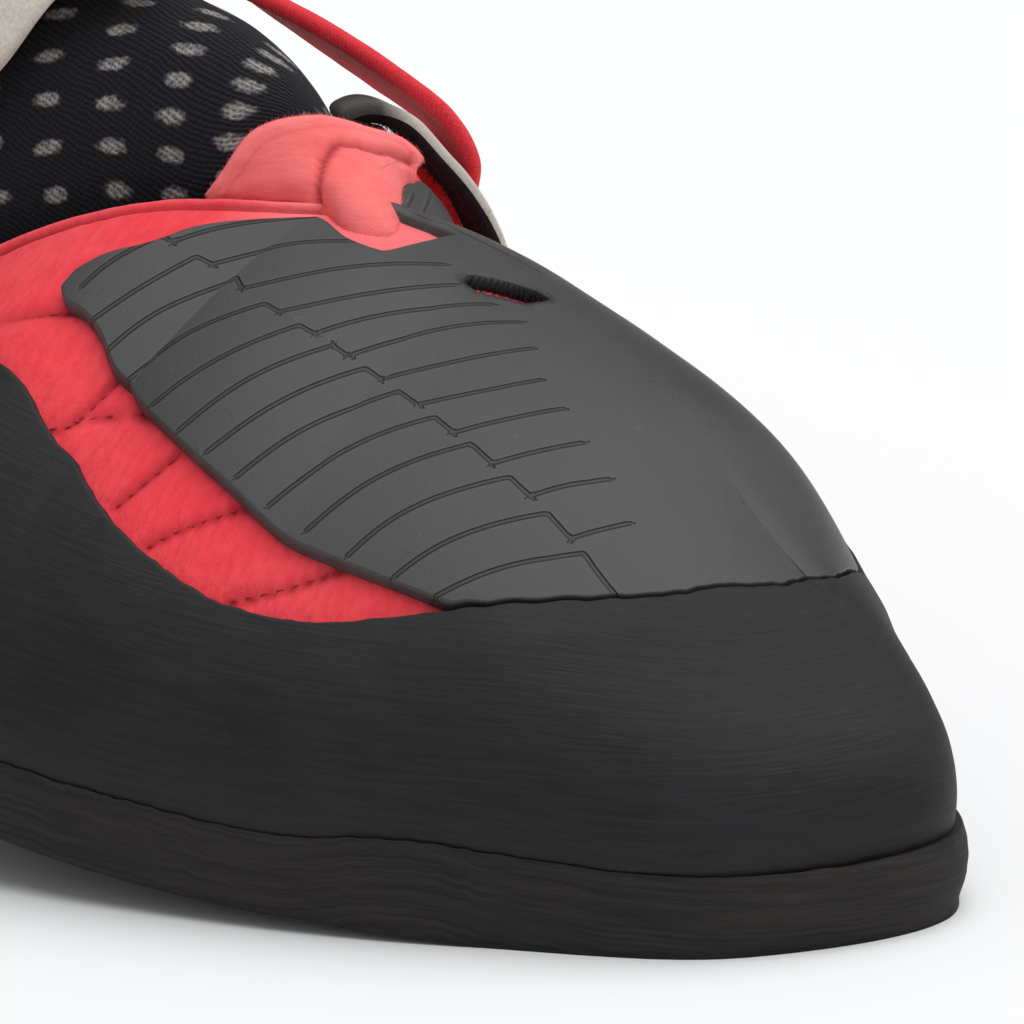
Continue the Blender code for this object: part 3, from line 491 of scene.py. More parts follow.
class Surface:
    """Net of points with faces, corner UVs in millimetres and values at its points."""

    def __init__(
        self, points: np.ndarray, quads: np.ndarray, uv: np.ndarray, labels: Optional[np.ndarray] = None
    ) -> None:
        """Welds points that lie together and works out normals and the rim's edges.

        Args:
            points: places in millimetres, one for each grid point.
            quads: four grid points for each face.
            uv: UV in millimetres of each grid point.
            labels: further columns kept for each point, such as side, u and v.
        """
        keys = np.round(points * 500.0).astype(np.int64)
        _, first, back = np.unique(keys, axis=0, return_index=True, return_inverse=True)
        back = back.reshape(-1)
        self.points = points[first]
        self.labels = None if labels is None else labels[first]
        self.faces: List[List[int]] = []
        self.corner_uv: List[Tuple[float, float]] = []
        for quad in quads.tolist():
            corners: Dict[int, int] = {}
            for grid_index in quad:
                corners.setdefault(int(back[grid_index]), grid_index)
            if len(corners) > 2:
                self.faces.append(list(corners))
                self.corner_uv.extend(tuple(uv[k]) for k in corners.values())
        self.values: Dict[str, np.ndarray] = {}
        self.normal = self.normals(self.points)
        self.rim = self.rim_edges()

    def normals(self, points: np.ndarray) -> np.ndarray:
        """Returns the mean direction of the faces round each point."""
        normal = np.zeros_like(points)
        corners = np.array([face if len(face) == 4 else face + face[-1:] for face in self.faces])
        facing = np.cross(
            points[corners[:, 2]] - points[corners[:, 0]], points[corners[:, 3]] - points[corners[:, 1]]
        )
        for k in range(4):
            np.add.at(normal, corners[:, k], facing)
        return normal / np.maximum(np.linalg.norm(normal, axis=1, keepdims=True), 1e-9)

    def rim_edges(self) -> List[Tuple[int, int]]:
        """Returns the edges that only one face uses."""
        seen: Dict[Tuple[int, int], int] = {}
        for face in self.faces:
            for a, b in zip(face, face[1:] + face[:1]):
                key = (a, b) if a < b else (b, a)
                seen[key] = seen.get(key, 0) + 1
        return [edge for edge, count in seen.items() if count == 1]

    def distance_to(self, marks: np.ndarray, most: float = 50.0) -> np.ndarray:
        """Returns each point's distance from the nearest of some marks."""
        tree = kdtree.KDTree(len(marks))
        for k, mark in enumerate(marks.tolist()):
            tree.insert(mark, k)
        tree.balance()
        return np.minimum(np.array([tree.find(p)[2] for p in self.points.tolist()]), most)

    def rim_distance(self, keep: Optional[Callable[[np.ndarray], bool]] = None) -> np.ndarray:
        """Returns each point's distance from the rim.

        Args:
            keep: tells which rim points count, from the point's labels; all count when left out.
        """
        marks = []
        for a, b in self.rim:
            if keep is None or keep(self.labels[a]):
                marks.extend(self.points[a] + (self.points[b] - self.points[a]) * k / 4 for k in range(4))
        return self.distance_to(np.array(marks))

    def side_of_lines(self, lines: Sequence[np.ndarray]) -> np.ndarray:
        """Returns the distance from the nearest line, negative on its right."""
        starts = np.concatenate([line[:-1] for line in lines])
        ways = np.concatenate([np.diff(line, axis=0) for line in lines])
        tree = kdtree.KDTree(len(starts))
        for k, place in enumerate((starts + ways * 0.5).tolist()):
            tree.insert(place, k)
        tree.balance()
        result = np.empty(len(self.points))
        for k, (p, n) in enumerate(zip(self.points, self.normal)):
            best = 1e9
            for _, i, _ in tree.find_n(p.tolist(), 4):
                t = np.clip(np.dot(p - starts[i], ways[i]) / max(np.dot(ways[i], ways[i]), 1e-9), 0.0, 1.0)
                away = p - starts[i] - ways[i] * t
                size = math.sqrt(float(np.dot(away, away)))
                if size < abs(best) - 1e-6:
                    best = size if np.dot(np.cross(ways[i], away), n) >= 0 else -size
            result[k] = best
        return result

    def build(
        self,
        name: str,
        finish: bpy.types.Material,
        front: np.ndarray,
        back: Optional[np.ndarray] = None,
        lining: Optional[bpy.types.Material] = None,
    ) -> bpy.types.Object:
        """Makes the mesh object.

        Args:
            name: name of the piece.
            finish: material of the front.
            front: offset of each point along its normal, in millimetres.
            back: offset of the back; the piece is an open skin when it is left out.
            lining: material of the back.

        Returns:
            The new object, at the origin.
        """
        outer = self.points + self.normal * np.broadcast_to(front, len(self.points))[:, None]
        faces = [list(face) for face in self.faces]
        corner_uv = list(self.corner_uv)
        count = len(faces)
        values = {key: np.asarray(value, float) for key, value in self.values.items()}
        places = outer
        if back is not None:
            inner = self.points + self.normal * np.broadcast_to(back, len(self.points))[:, None]
            on_rim = np.zeros(len(self.points), bool)
            for a, b in self.rim:
                on_rim[a] = on_rim[b] = True
            index = np.where(on_rim, np.arange(len(outer)), 0)
            index[~on_rim] = len(outer) + np.arange(int((~on_rim).sum()))
            places = np.concatenate([outer, inner[~on_rim]])
            values = {key: np.concatenate([value, value[~on_rim]]) for key, value in values.items()}
            at = 0
            for face in self.faces:
                faces.append([int(index[k]) for k in reversed(face)])
                corner_uv.extend(reversed(self.corner_uv[at:at + len(face)]))
                at += len(face)
        mesh = bpy.data.meshes.new(name)
        mesh.from_pydata((places * MM).tolist(), [], faces)
        mesh.materials.append(finish)
        if back is not None and lining is not None:
            mesh.materials.append(lining)
            slots = np.zeros(len(faces), np.int32)
            slots[count:] = 1
            mesh.polygons.foreach_set("material_index", slots)
        layer = mesh.uv_layers.new(name="cloth")
        layer.data.foreach_set("uv", (np.array(corner_uv, float) * MM).ravel())
        for key, value in values.items():
            attribute = mesh.attributes.new(key, "FLOAT", "POINT")
            attribute.data.foreach_set("value", value.astype(np.float32))
        mesh.shade_smooth()
        return linked(name, mesh)


def last_surface(
    sides: Sequence[Side],
    stations: Dict[Side, np.ndarray],
    low: Height,
    high: Height,
    rows: int,
    edge_share: float = 0.6,
    skip: Optional[Callable[[Side, np.ndarray, np.ndarray], np.ndarray]] = None,
) -> Surface:
    """Makes a surface on the last between two heights.

    Args:
        sides: the sides that it covers.
        stations: places u along each side.
        low: height v of the lower edge.
        high: height v of the upper edge.
        rows: number of rows of faces.
        edge_share: how much the rows draw together at the edges.
        skip: tells which faces are left open, from the side and the faces' mean u and v.

    Returns:
        The surface; its labels are side, u and v.
    """
    points, quads, uvs, labels = [], [], [], []
    count = 0
    x = np.linspace(0.0, 1.0, rows + 1)
    share = x - edge_share * np.sin(2 * math.pi * x) / (2 * math.pi)
    for side in sides:
        u = stations[side]
        bottom = low(side, u)
        top = high(side, u)
        v = bottom[:, None] + (top - bottom)[:, None] * share[None, :]
        uu = np.repeat(u[:, None], rows + 1, axis=1)
        grid = LAST.point(side, uu, v)
        along = run_along(LAST.foot[side].at(u))
        up = run_across(grid) + (bottom * 60.0)[:, None]
        uvs.append(np.stack([np.repeat(along[:, None], rows + 1, axis=1), up], axis=-1).reshape(-1, 2))
        labels.append(np.stack([np.full(grid.shape[:2], float(side)), uu, v], axis=-1).reshape(-1, 3))
        points.append(grid.reshape(-1, 3))
        quad = grid_faces(len(u), rows + 1, count)
        if skip is not None:
            mid_u = 0.5 * (uu[:-1, :-1] + uu[1:, 1:])
            mid_v = 0.25 * (v[:-1, :-1] + v[1:, :-1] + v[:-1, 1:] + v[1:, 1:])
            quad = quad[~skip(side, mid_u.ravel(), mid_v.ravel())]
        quads.append(quad if side == Side.OUTER else quad[:, ::-1])
        count += len(points[-1])
    return Surface(*(np.concatenate(part) for part in (points, quads, uvs, labels)))


def level(v: float) -> Height:
    """Returns an edge that lies at the height v everywhere."""
    return lambda side, at: v + 0.0 * at


def spread(
    start: float, end: float, step: float, fine: Sequence[Tuple[float, float, float]] = ()
) -> np.ndarray:
    """Returns stations from start to end, closer together in the fine ranges.

    Args:
        start: first station.
        end: last station.
        step: usual distance between two stations.
        fine: ranges as low, high and step.
    """
    marks = [start]
    while marks[-1] < end - 1e-9:
        here = step
        for low, high, close in fine:
            if low - 1e-9 <= marks[-1] < high:
                here = min(here, close)
        marks.append(min(end, marks[-1] + here))
    return np.array(marks)


def sheet_surface(grid: Sequence[Sequence[Sequence[float]]], rows: int, columns: int) -> Surface:
    """Makes a smooth surface through a coarse grid of points.

    Args:
        grid: coarse points in rows and columns.
        rows: number of fine rows of faces.
        columns: number of fine columns of faces.
    """
    coarse = np.asarray(grid, float)
    count, width = coarse.shape[:2]
    table = np.concatenate([np.arange(count)[:, None], coarse.reshape(count, -1)], axis=1)
    tall = Track(table).at(np.linspace(0, count - 1, rows + 1)).reshape(rows + 1, width, 3)
    turned = np.swapaxes(tall, 0, 1)
    table = np.concatenate([np.arange(width)[:, None], turned.reshape(width, -1)], axis=1)
    fine = Track(table).at(np.linspace(0, width - 1, columns + 1)).reshape(columns + 1, rows + 1, 3)
    fine = np.swapaxes(fine, 0, 1)
    along = np.linalg.norm(np.diff(fine, axis=0), axis=2).mean(axis=1)
    run = np.concatenate([[0.0], np.cumsum(along)])
    width_run = run_across(fine)
    width_run = width_run - 0.5 * width_run[:, -1:]
    uv = np.stack([width_run, np.repeat(run[:, None], columns + 1, axis=1)], axis=-1).reshape(-1, 2)
    quads = grid_faces(rows + 1, columns + 1)
    share = np.linspace(0, 1, rows + 1)[:, None]
    across_share = np.linspace(0, 1, columns + 1)[None, :]
    labels = np.stack(np.broadcast_arrays(np.zeros((rows + 1, columns + 1)), share, across_share), axis=-1)
    return Surface(fine.reshape(-1, 3), quads, uv, labels.reshape(-1, 3))


def rounded(distance: np.ndarray, radius: float) -> np.ndarray:
    """Returns a quarter-round rise from 0 at the rim to 1 at the radius."""
    t = np.clip(distance / radius, 0.0, 1.0)
    return np.sqrt(np.maximum(0.0, 1.0 - (1.0 - t) ** 2))


def trough(distance: np.ndarray, width: float) -> np.ndarray:
    """Returns a soft hollow of depth 1 along a line, of about the given half width."""
    return np.exp(-(distance / width) ** 2)


class Tree:
    """Short way to add nodes to a node tree."""

    tree: bpy.types.NodeTree

    def add(self, kind: str, values: Optional[Dict] = None, **settings: object) -> bpy.types.Node:
        """Adds a node and sets or links its inputs.

        Args:
            kind: Blender's name of the node.
            values: value or socket for each input, by name or number.
            settings: properties of the node.
        """
        node = self.tree.nodes.new(kind)
        for key, value in settings.items():
            setattr(node, key, value)
        for key, value in (values or {}).items():
            if isinstance(value, Socket):
                self.tree.links.new(value, node.inputs[key])
            else:
                node.inputs[key].default_value = value
        return node


class Nodes(Tree):
    """Short way to write a material's node tree."""

    def __init__(self, name: str) -> None:
        """Starts a material with a Principled shader."""
        self.material = bpy.data.materials.new(name)
        self.material.use_nodes = True
        self.tree = self.material.node_tree
        self.shader = self.tree.nodes["Principled BSDF"]
        self.place = self.add("ShaderNodeTexCoord").outputs["Object"]
        self.cloth = self.add("ShaderNodeUVMap", uv_map="cloth").outputs["UV"]

    def value(self, name: str) -> Socket:
        """Returns a value stored at the mesh's points."""
        return self.add("ShaderNodeAttribute", attribute_name=name).outputs["Fac"]

    def noise(
        self, scale: float, detail: float = 3.0, rough: float = 0.5, vector: Optional[Socket] = None
    ) -> Socket:
        """Returns noise from 0 to 1.

        Args:
            scale: lumps for each unit of the vector.
            detail: octaves.
            rough: weight of the finer octaves.
            vector: where it is read; the object's own coordinates when left out.
        """
        values = {"Vector": vector or self.place, "Scale": scale, "Detail": detail, "Roughness": rough}
        return self.add("ShaderNodeTexNoise", values).outputs["Fac"]

    def streaks(self, detail: float, rough: float, along: float, across: float, turn: float = 0.0) -> Socket:
        """Returns noise drawn out on the UV map.

        Args:
            detail: octaves.
            rough: weight of the finer octaves.
            along: lumps for each millimetre along the first axis.
            across: lumps for each millimetre along the second axis.
            turn: turn of both axes, in radians.
        """
        values = {"Vector": self.cloth, "Scale": (along, across, 1.0), "Rotation": (0.0, 0.0, turn)}
        return self.noise(1.0 / MM, detail, rough, self.add("ShaderNodeMapping", values).outputs["Vector"])

    def math(self, operation: str, a: object, b: object = 0.0) -> Socket:
        """Returns the result of a math node."""
        return self.add("ShaderNodeMath", {0: a, 1: b}, operation=operation).outputs[0]

    def fade(
        self, value: object, low: float, high: float, out: Tuple[float, float] = (0.0, 1.0)
    ) -> Socket:
        """Returns a value that goes smoothly from out[0] at low to out[1] at high."""
        node = self.add(
            "ShaderNodeMapRange",
            {"Value": value, "From Min": low, "From Max": high, "To Min": out[0], "To Max": out[1]},
            interpolation_type="SMOOTHSTEP",
        )
        return node.outputs["Result"]

    def blend(self, factor: object, a: object, b: object) -> Socket:
        """Returns the colour between a and b."""
        a = (*a, 1.0) if isinstance(a, tuple) else a
        b = (*b, 1.0) if isinstance(b, tuple) else b
        return self.add("ShaderNodeMix", {0: factor, 6: a, 7: b}, data_type="RGBA").outputs[2]

    def total(self, *terms: Tuple[object, float]) -> Socket:
        """Returns the sum of values, each with its weight."""
        result: object = 0.0
        for value, weight in terms:
            node = self.add("ShaderNodeMath", {0: value, 1: weight, 2: result}, operation="MULTIPLY_ADD")
            result = node.outputs[0]
        return result

    def set_sheen(self, specular: float, weight: float, roughness: float) -> None:
        """Sets how a cloth shines."""
        self.shader.inputs["Specular IOR Level"].default_value = specular
        self.shader.inputs["Sheen Weight"].default_value = weight
        self.shader.inputs["Sheen Roughness"].default_value = roughness

    def set_surface(
        self, color: object, roughness: object, relief: Optional[object] = None, strength: float = 1.0
    ) -> None:
        """Sets the shader's colour, roughness and relief.

        Args:
            color: colour socket.
            roughness: value or socket.
            relief: height in millimetres.
            strength: share of the relief that shows.
        """
        self.tree.links.new(color, self.shader.inputs["Base Color"])
        if isinstance(roughness, Socket):
            self.tree.links.new(roughness, self.shader.inputs["Roughness"])
        else:
            self.shader.inputs["Roughness"].default_value = roughness
        if relief is not None:
            bump = self.add("ShaderNodeBump", {"Height": relief, "Distance": MM, "Strength": strength})
            self.tree.links.new(bump.outputs["Normal"], self.shader.inputs["Normal"])


@dataclass(frozen=True)
class RubberFinish:
    """Black rubber with the marks of how it was worked."""

    name: str
    base: Color
    dust: Color
    wear: Wear
    roughness: float
    grooves: bool = False

    def groove_distance(self, n: Nodes, which: str) -> Socket:
        """Returns the distance from every other groove.

        Args:
            n: the material's nodes.
            which: name of the half of the grooves, "even" or "odd".
        """
        # The side of a line jumps halfway between two lines, so the plain distance counts there.
        side = n.math("ABSOLUTE", n.value("groove_" + which))
        return n.math("MAXIMUM", side, n.math("SUBTRACT", n.value("reach_" + which), 0.45))

    def material(self) -> bpy.types.Material:
        """Returns the material."""
        n = Nodes(self.name)
        cloud = n.fade(n.noise(55.0, 4.0, 0.6), 0.35, 0.7)
        fine = n.noise(2600.0, 3.0, 0.6)
        pores = n.fade(n.noise(900.0, 2.0), 0.30, 0.42)
        specks = n.fade(n.noise(1150.0, 1.0), 0.755, 0.79)
        terms = [(fine, 0.018), (pores, 0.01)]
        if self.wear == Wear.BUFFED:
            streak = n.streaks(4.0, 0.65, 0.10, 1.9, 0.05)
            scratch = n.fade(n.streaks(2.0, 0.5, 0.05, 3.2, -0.12), 0.60, 0.74)
            terms += [(streak, 0.085), (scratch, 0.02)]
            pale = n.fade(streak, 0.36, 0.64)
            tone = n.total((cloud, 0.35), (pale, 0.34), (scratch, 0.20), (specks, 0.3))
        elif self.wear == Wear.GROUND:
            lines = n.streaks(5.0, 0.75, 0.05, 2.3)
            coarse = n.streaks(2.0, 0.5, 0.14, 1.1)
            terms += [(lines, 0.20), (coarse, 0.08)]
            pale = n.fade(lines, 0.34, 0.68)
            broad = n.fade(coarse, 0.4, 0.7)
            tone = n.total((cloud, 0.22), (pale, 0.62), (broad, 0.2), (specks, 0.2))
        else:
            tone = n.total((cloud, 0.45), (specks, 0.6), (fine, 0.15))
        color = n.blend(tone, self.base, self.dust)
        rough = n.total((cloud, 0.10), (fine, 0.10), (1.0, self.roughness - 0.10))
        if self.grooves:
            near = n.math("MINIMUM", self.groove_distance(n, "even"), self.groove_distance(n, "odd"))
            cut = n.fade(near, 0.12, 0.36, (1.0, 0.0))
            lip = n.fade(near, 0.35, 0.80, (1.0, 0.0))
            terms += [(cut, -0.30)]
            color = n.blend(n.math("MULTIPLY", lip, 0.14), color, shaded(self.dust, 1.5))
            # The grooves, sunk in the relief, are painted near black as shade inside them.
            color = n.blend(n.math("MULTIPLY", cut, 0.88), color, (0.0035, 0.0035, 0.004))
        edge = n.fade(n.value("rim"), 0.10, 0.6, (1.0, 0.0))
        color = n.blend(n.math("MULTIPLY", edge, n.noise(420.0, 3.0)), color, shaded(self.dust, 1.5))
        if self.grooves:
            # Round the slot's opening the rubber is painted near black as shade, with a ragged edge.
            ragged_slot_shade = n.total((n.value("slot"), 1.0), (n.noise(1500.0, 3.0, 0.7), -1.8))
            color = n.blend(n.fade(ragged_slot_shade, -0.3, 0.35, (1.0, 0.0)), color, (0.004, 0.0035, 0.004))
        n.shader.inputs["Specular IOR Level"].default_value = 0.5 if self.wear == Wear.MOULDED else 0.27
        n.set_surface(color, rough, n.total(*terms))
        return n.material


@dataclass(frozen=True)
class SuedeFinish:
    """Napped leather with fine wrinkles, with painted shade in their hollows and in creases."""

    name: str
    base: Color
    light: Color
    dark: Color
    pale: Color
    wrinkle: float

    def material(self) -> bpy.types.Material:
        """Returns the material."""
        n = Nodes(self.name)
        cloud = n.noise(90.0, 4.0, 0.6)
        nap = n.noise(3200.0, 4.0, 0.7)
        hair = n.streaks(3.0, 0.6, 2.4, 0.7)
        fold = n.streaks(3.0, 0.55, 1.05, 0.30, 0.35)
        pucker = n.noise(420.0, 3.0, 0.6)
        color = n.blend(n.fade(cloud, 0.3, 0.7), self.base, self.light)
        # Hollows of the wrinkles are painted darker as shade; the nap and hairs add the leather's own darker
        # tone.
        hollow_shade = n.fade(fold, 0.62, 0.38)
        color = n.blend(n.total((nap, 0.22), (hair, 0.16), (hollow_shade, 0.22 * self.wrinkle)), color, self.dark)
        color = n.blend(n.value("pale"), color, self.pale)
        # Painted shade in creases, folds and hidden parts.
        color = n.blend(n.math("MULTIPLY", n.value("crease"), 0.85), color, shaded(self.dark, 0.45))
        relief = n.total(
            (nap, 0.05), (hair, 0.05), (fold, 0.36 * self.wrinkle), (pucker, 0.20 * self.wrinkle)
        )
        n.set_sheen(0.2, 0.16, 0.45)
        n.shader.inputs["Sheen Tint"].default_value = (1.0, 0.50, 0.48, 1.0)
        n.set_surface(color, 0.88, relief)
        return n.material


@dataclass(frozen=True)
class KnitFinish:
    """Black stretch knit with fine ribs and pale woven dots in staggered columns."""

    name: str
    base: Color
    light: Color
    dot: Color
    rib: float = 0.62
    slant: float = 0.5
    first_column: float = 61.3
    column: float = 8.6
    row: float = 4.43
    row_change: float = 0.645
    dot_width: float = 1.3
    dot_length: float = 3.7

    def material(self) -> bpy.types.Material:
        """Returns the material; X of the UV map runs across the tongue and Y along it."""
        n = Nodes(self.name)
        parts = n.add("ShaderNodeSeparateXYZ", {"Vector": n.cloth})
        warp = n.math("SUBTRACT", n.noise(150.0, 2.0, 0.5), 0.5)
        x = n.total((parts.outputs["X"], 1000.0), (warp, 1.6))
        y = n.total((parts.outputs["Y"], 1000.0), (warp, -1.2))
        uneven = n.noise(700.0, 2.0, 0.6)
        # Towards the toe the knit turns round the tongue, so its ribs bend there.
        bend = n.math("EXPONENT", n.math("DIVIDE", n.math("SUBTRACT", 33.0, n.math("MAXIMUM", y, 30.0)), 5.0))
        tilt = n.total((1.0, -0.46), (bend, -0.2))
        across = n.total((x, 1.0), (y, -0.1), (bend, -4.5), (uneven, 0.5))
        ribs = n.math("SINE", n.math("MULTIPLY", across, 2 * math.pi / self.rib))
        along = n.total((x, 0.25), (y, 1.0), (uneven, 0.8))
        loops = n.math("SINE", n.math("MULTIPLY", along, 2 * math.pi / (self.rib * 0.8)))
        stitch = n.total((n.fade(ribs, -0.9, 0.9), 0.72), (n.fade(loops, -1.0, 0.8), 0.28))
        # Columns of dots run across with a slant, and their dots draw together towards the toe.
        slanted = n.total((y, 1.0), (x, -self.slant), (1.0, -self.first_column))
        index = n.math("ROUND", n.math("DIVIDE", slanted, -self.column))
        dy = n.total((slanted, 1.0), (index, self.column))
        pitch = n.math("MAXIMUM", n.total((1.0, self.row), (index, -self.row_change)), 2.0)
        start = n.total((1.0, 0.92), (n.math("MULTIPLY", index, index), -0.08))
        level = n.math("SUBTRACT", x, n.math("MULTIPLY", tilt, dy))
        count = n.math("ADD", n.math("DIVIDE", level, pitch), start)
        dx = n.math("MULTIPLY", n.math("SUBTRACT", count, n.math("ROUND", count)), pitch)
        dx = n.math("DIVIDE", dx, self.dot_width / 2)
        dy = n.math("DIVIDE", dy, self.dot_length / 2)
        reach = n.math("SQRT", n.math("ADD", n.math("MULTIPLY", dx, dx), n.math("MULTIPLY", dy, dy)))
        reach = n.math("ADD", reach, n.math("MULTIPLY", n.math("SUBTRACT", n.noise(1300.0, 2.0), 0.5), 1.1))
        faded = n.fade(n.noise(2000.0, 2.0), 0.30, 0.62, (0.45, 1.0))
        dot = n.math("MULTIPLY", n.fade(reach, 0.55, 1.35, (1.0, 0.0)), faded)
        fuzz = n.noise(5200.0, 3.0, 0.7)
        color = n.blend(n.math("MULTIPLY", stitch, n.fade(fuzz, 0.2, 0.8)), self.base, self.light)
        color = n.blend(n.math("MULTIPLY", dot, n.fade(stitch, -0.4, 0.6)), color, self.dot)
        relief = n.total((stitch, 0.13), (fuzz, 0.04), (dot, 0.04))
        n.set_sheen(0.15, 0.06, 0.5)
        n.set_surface(color, 0.95, relief)
        return n.material


@dataclass(frozen=True)
class ClothFinish:
    """Plain woven or felted cloth."""

    name: str
    base: Color
    light: Color
    thread: float
    felt: float
    sheen: float = 0.2
    shade: float = 0.4

    def material(self) -> bpy.types.Material:
        """Returns the material."""
        n = Nodes(self.name)
        parts = n.add("ShaderNodeSeparateXYZ", {"Vector": n.cloth})
        x = n.math("SINE", n.math("MULTIPLY", parts.outputs["X"], 2 * math.pi * 1000.0 / self.thread))
        y = n.math("SINE", n.math("MULTIPLY", parts.outputs["Y"], 2 * math.pi * 1000.0 / self.thread))
        weave = n.fade(n.math("MULTIPLY", x, y), -0.8, 0.8)
        fibre = n.noise(2100.0, 4.0, 0.75)
        lump = n.noise(350.0, 3.0, 0.6)
        tone = n.total((weave, 0.6 * (1 - self.felt)), (fibre, 0.35 + 0.4 * self.felt), (lump, 0.25))
        color = n.blend(n.fade(tone, 0.2, 0.9), self.base, self.light)
        # Painted shade in creases and folds; the shade factor sets how dark it gets.
        color = n.blend(n.math("MULTIPLY", n.value("crease"), 0.9), color, shaded(self.base, self.shade))
        relief = n.total(
            (weave, 0.12 * (1 - self.felt)), (fibre, 0.10 * self.felt + 0.02), (lump, 0.16 * self.felt)
        )
        n.set_sheen(0.2, self.sheen, 0.5)
        n.set_surface(color, 0.92, relief)
        return n.material


@dataclass(frozen=True)
class ThreadFinish:
    """Sewing thread or loose fibre."""

    name: str
    base: Color
    light: Color

    def material(self) -> bpy.types.Material:
        """Returns the material."""
        n = Nodes(self.name)
        color = n.blend(n.noise(3000.0, 2.0), self.base, self.light)
        n.set_surface(color, 0.85, n.noise(6000.0, 2.0), 0.3)
        return n.material


class Finishes:
    """All materials of the shoe."""

    def __init__(self) -> None:
        """Makes every material once."""
        rand = RubberFinish(
            "buffed_rand_rubber", (0.007, 0.007, 0.008), (0.021, 0.021, 0.024), Wear.BUFFED, 0.60
        )
        patch = RubberFinish(
            "moulded_patch_rubber", (0.020, 0.020, 0.021), (0.052, 0.052, 0.053), Wear.MOULDED, 0.48, True
        )
        sole = RubberFinish(
            "ground_sole_rubber", (0.008, 0.007, 0.0065), (0.034, 0.030, 0.027), Wear.GROUND, 0.72
        )
        suede = SuedeFinish(
            "red_suede", (0.97, 0.066, 0.084), (0.98, 0.090, 0.110), (0.70, 0.026, 0.044),
            (0.98, 0.21, 0.22), 1.0,
        )
        flap = SuedeFinish(
            "salmon_suede", (0.98, 0.175, 0.170), (0.98, 0.25, 0.24), (0.82, 0.070, 0.080),
            (0.98, 0.28, 0.28), 0.35,
        )
        knit = KnitFinish(
            "dotted_knit", (0.006, 0.006, 0.008), (0.026, 0.026, 0.033), (0.33, 0.31, 0.29)
        )
        self.rand = rand.material()
        self.patch = patch.material()
        self.sole = sole.material()
        self.suede = suede.material()
        self.flap = flap.material()
        self.knit = knit.material()
        self.lining = self.cloth("dark_lining", (0.014, 0.014, 0.016), (0.05, 0.05, 0.054), 0.8, 0.4)
        self.strap = self.cloth("red_strap", (0.66, 0.020, 0.034), (0.92, 0.055, 0.070), 0.5, 0.75, 0.15)
        self.tab = self.cloth("pale_felt", (0.50, 0.46, 0.39), (0.84, 0.79, 0.70), 0.9, 1.0)
        # Where painted shade lies on the curl, its felt goes almost black.
        self.curl = self.cloth("curl_felt", (0.42, 0.38, 0.34), (0.66, 0.60, 0.55), 0.9, 1.0, 0.2, 0.02)
        self.pile = self.cloth("dark_pile", (0.005, 0.005, 0.006), (0.022, 0.021, 0.022), 0.7, 1.0, 0.05)
        self.tape = self.cloth("dark_tape", (0.012, 0.012, 0.014), (0.055, 0.055, 0.06), 1.1, 0.05)
        self.insole = self.cloth("insole_felt", (0.20, 0.18, 0.16), (0.42, 0.39, 0.34), 0.8, 0.8)
        self.thread = self.fibres("dark_red_thread", (0.30, 0.010, 0.018), (0.55, 0.03, 0.042))
        self.fluff = self.fibres("black_fluff", (0.005, 0.005, 0.006), (0.02, 0.02, 0.022))
        self.fibre = self.fibres("suede_fibre", (0.95, 0.10, 0.11), (1.0, 0.26, 0.27))

    def cloth(self, *values: object) -> bpy.types.Material:
        """Returns the material of a plain cloth, from the cloth finish's own values."""
        return ClothFinish(*values).material()

    def fibres(self, *values: object) -> bpy.types.Material:
        """Returns the material of thread or fibre, from the thread finish's own values."""
        return ThreadFinish(*values).material()


class Rule(Tree):
    """Geometry Nodes tree whose result is taken as a plain mesh."""

    def __init__(self, name: str, inputs: Sequence[Tuple[str, str, object]]) -> None:
        """Starts the tree with its named inputs.

        Args:
            name: name of the tree.
            inputs: name, socket type and value of each input after the geometry.
        """
        self.tree = bpy.data.node_groups.new(name, "GeometryNodeTree")
        self.values = {label: value for label, _, value in inputs if value is not None}
        self.tree.interface.new_socket("Geometry", in_out="INPUT", socket_type="NodeSocketGeometry")
        for label, kind, _ in inputs:
            self.tree.interface.new_socket(label, in_out="INPUT", socket_type=kind)
        self.tree.interface.new_socket("Geometry", in_out="OUTPUT", socket_type="NodeSocketGeometry")
        self.source = self.tree.nodes.new("NodeGroupInput")
        self.result = self.tree.nodes.new("NodeGroupOutput")

    def close(self, instances: bpy.types.NodeSocket) -> None:
        """Ends the tree in Realize Instances and Set Material."""
        real = self.add("GeometryNodeRealizeInstances", {"Geometry": instances})
        painted = self.add("GeometryNodeSetMaterial", {
            "Geometry": real.outputs[0], "Material": self.source.outputs["Material"],
        })
        self.tree.links.new(painted.outputs[0], self.result.inputs["Geometry"])

    def apply(self, carrier: bpy.types.Object, name: str, material: bpy.types.Material) -> bpy.types.Object:
        """Runs the tree on a carrier and returns the result as a new object.

        Args:
            carrier: object that gives the geometry; it is removed.
            name: name of the new piece.
            material: its material.
        """
        modifier = carrier.modifiers.new(name, "NODES")
        modifier.node_group = self.tree
        for item in self.tree.interface.items_tree:
            if item.in_out == "INPUT" and item.name in self.values:
                modifier[item.identifier] = self.values[item.name]
            elif item.in_out == "INPUT" and item.name == "Material":
                modifier[item.identifier] = material
        bpy.context.view_layer.update()
        evaluated = carrier.evaluated_get(bpy.context.evaluated_depsgraph_get())
        mesh = bpy.data.meshes.new_from_object(evaluated)
        mesh.name = name
        carrier.modifiers.clear()
        old = carrier.data
        bpy.data.objects.remove(carrier, do_unlink=True)
        bpy.data.meshes.remove(old)
        mesh.shade_smooth()
        return linked(name, mesh)


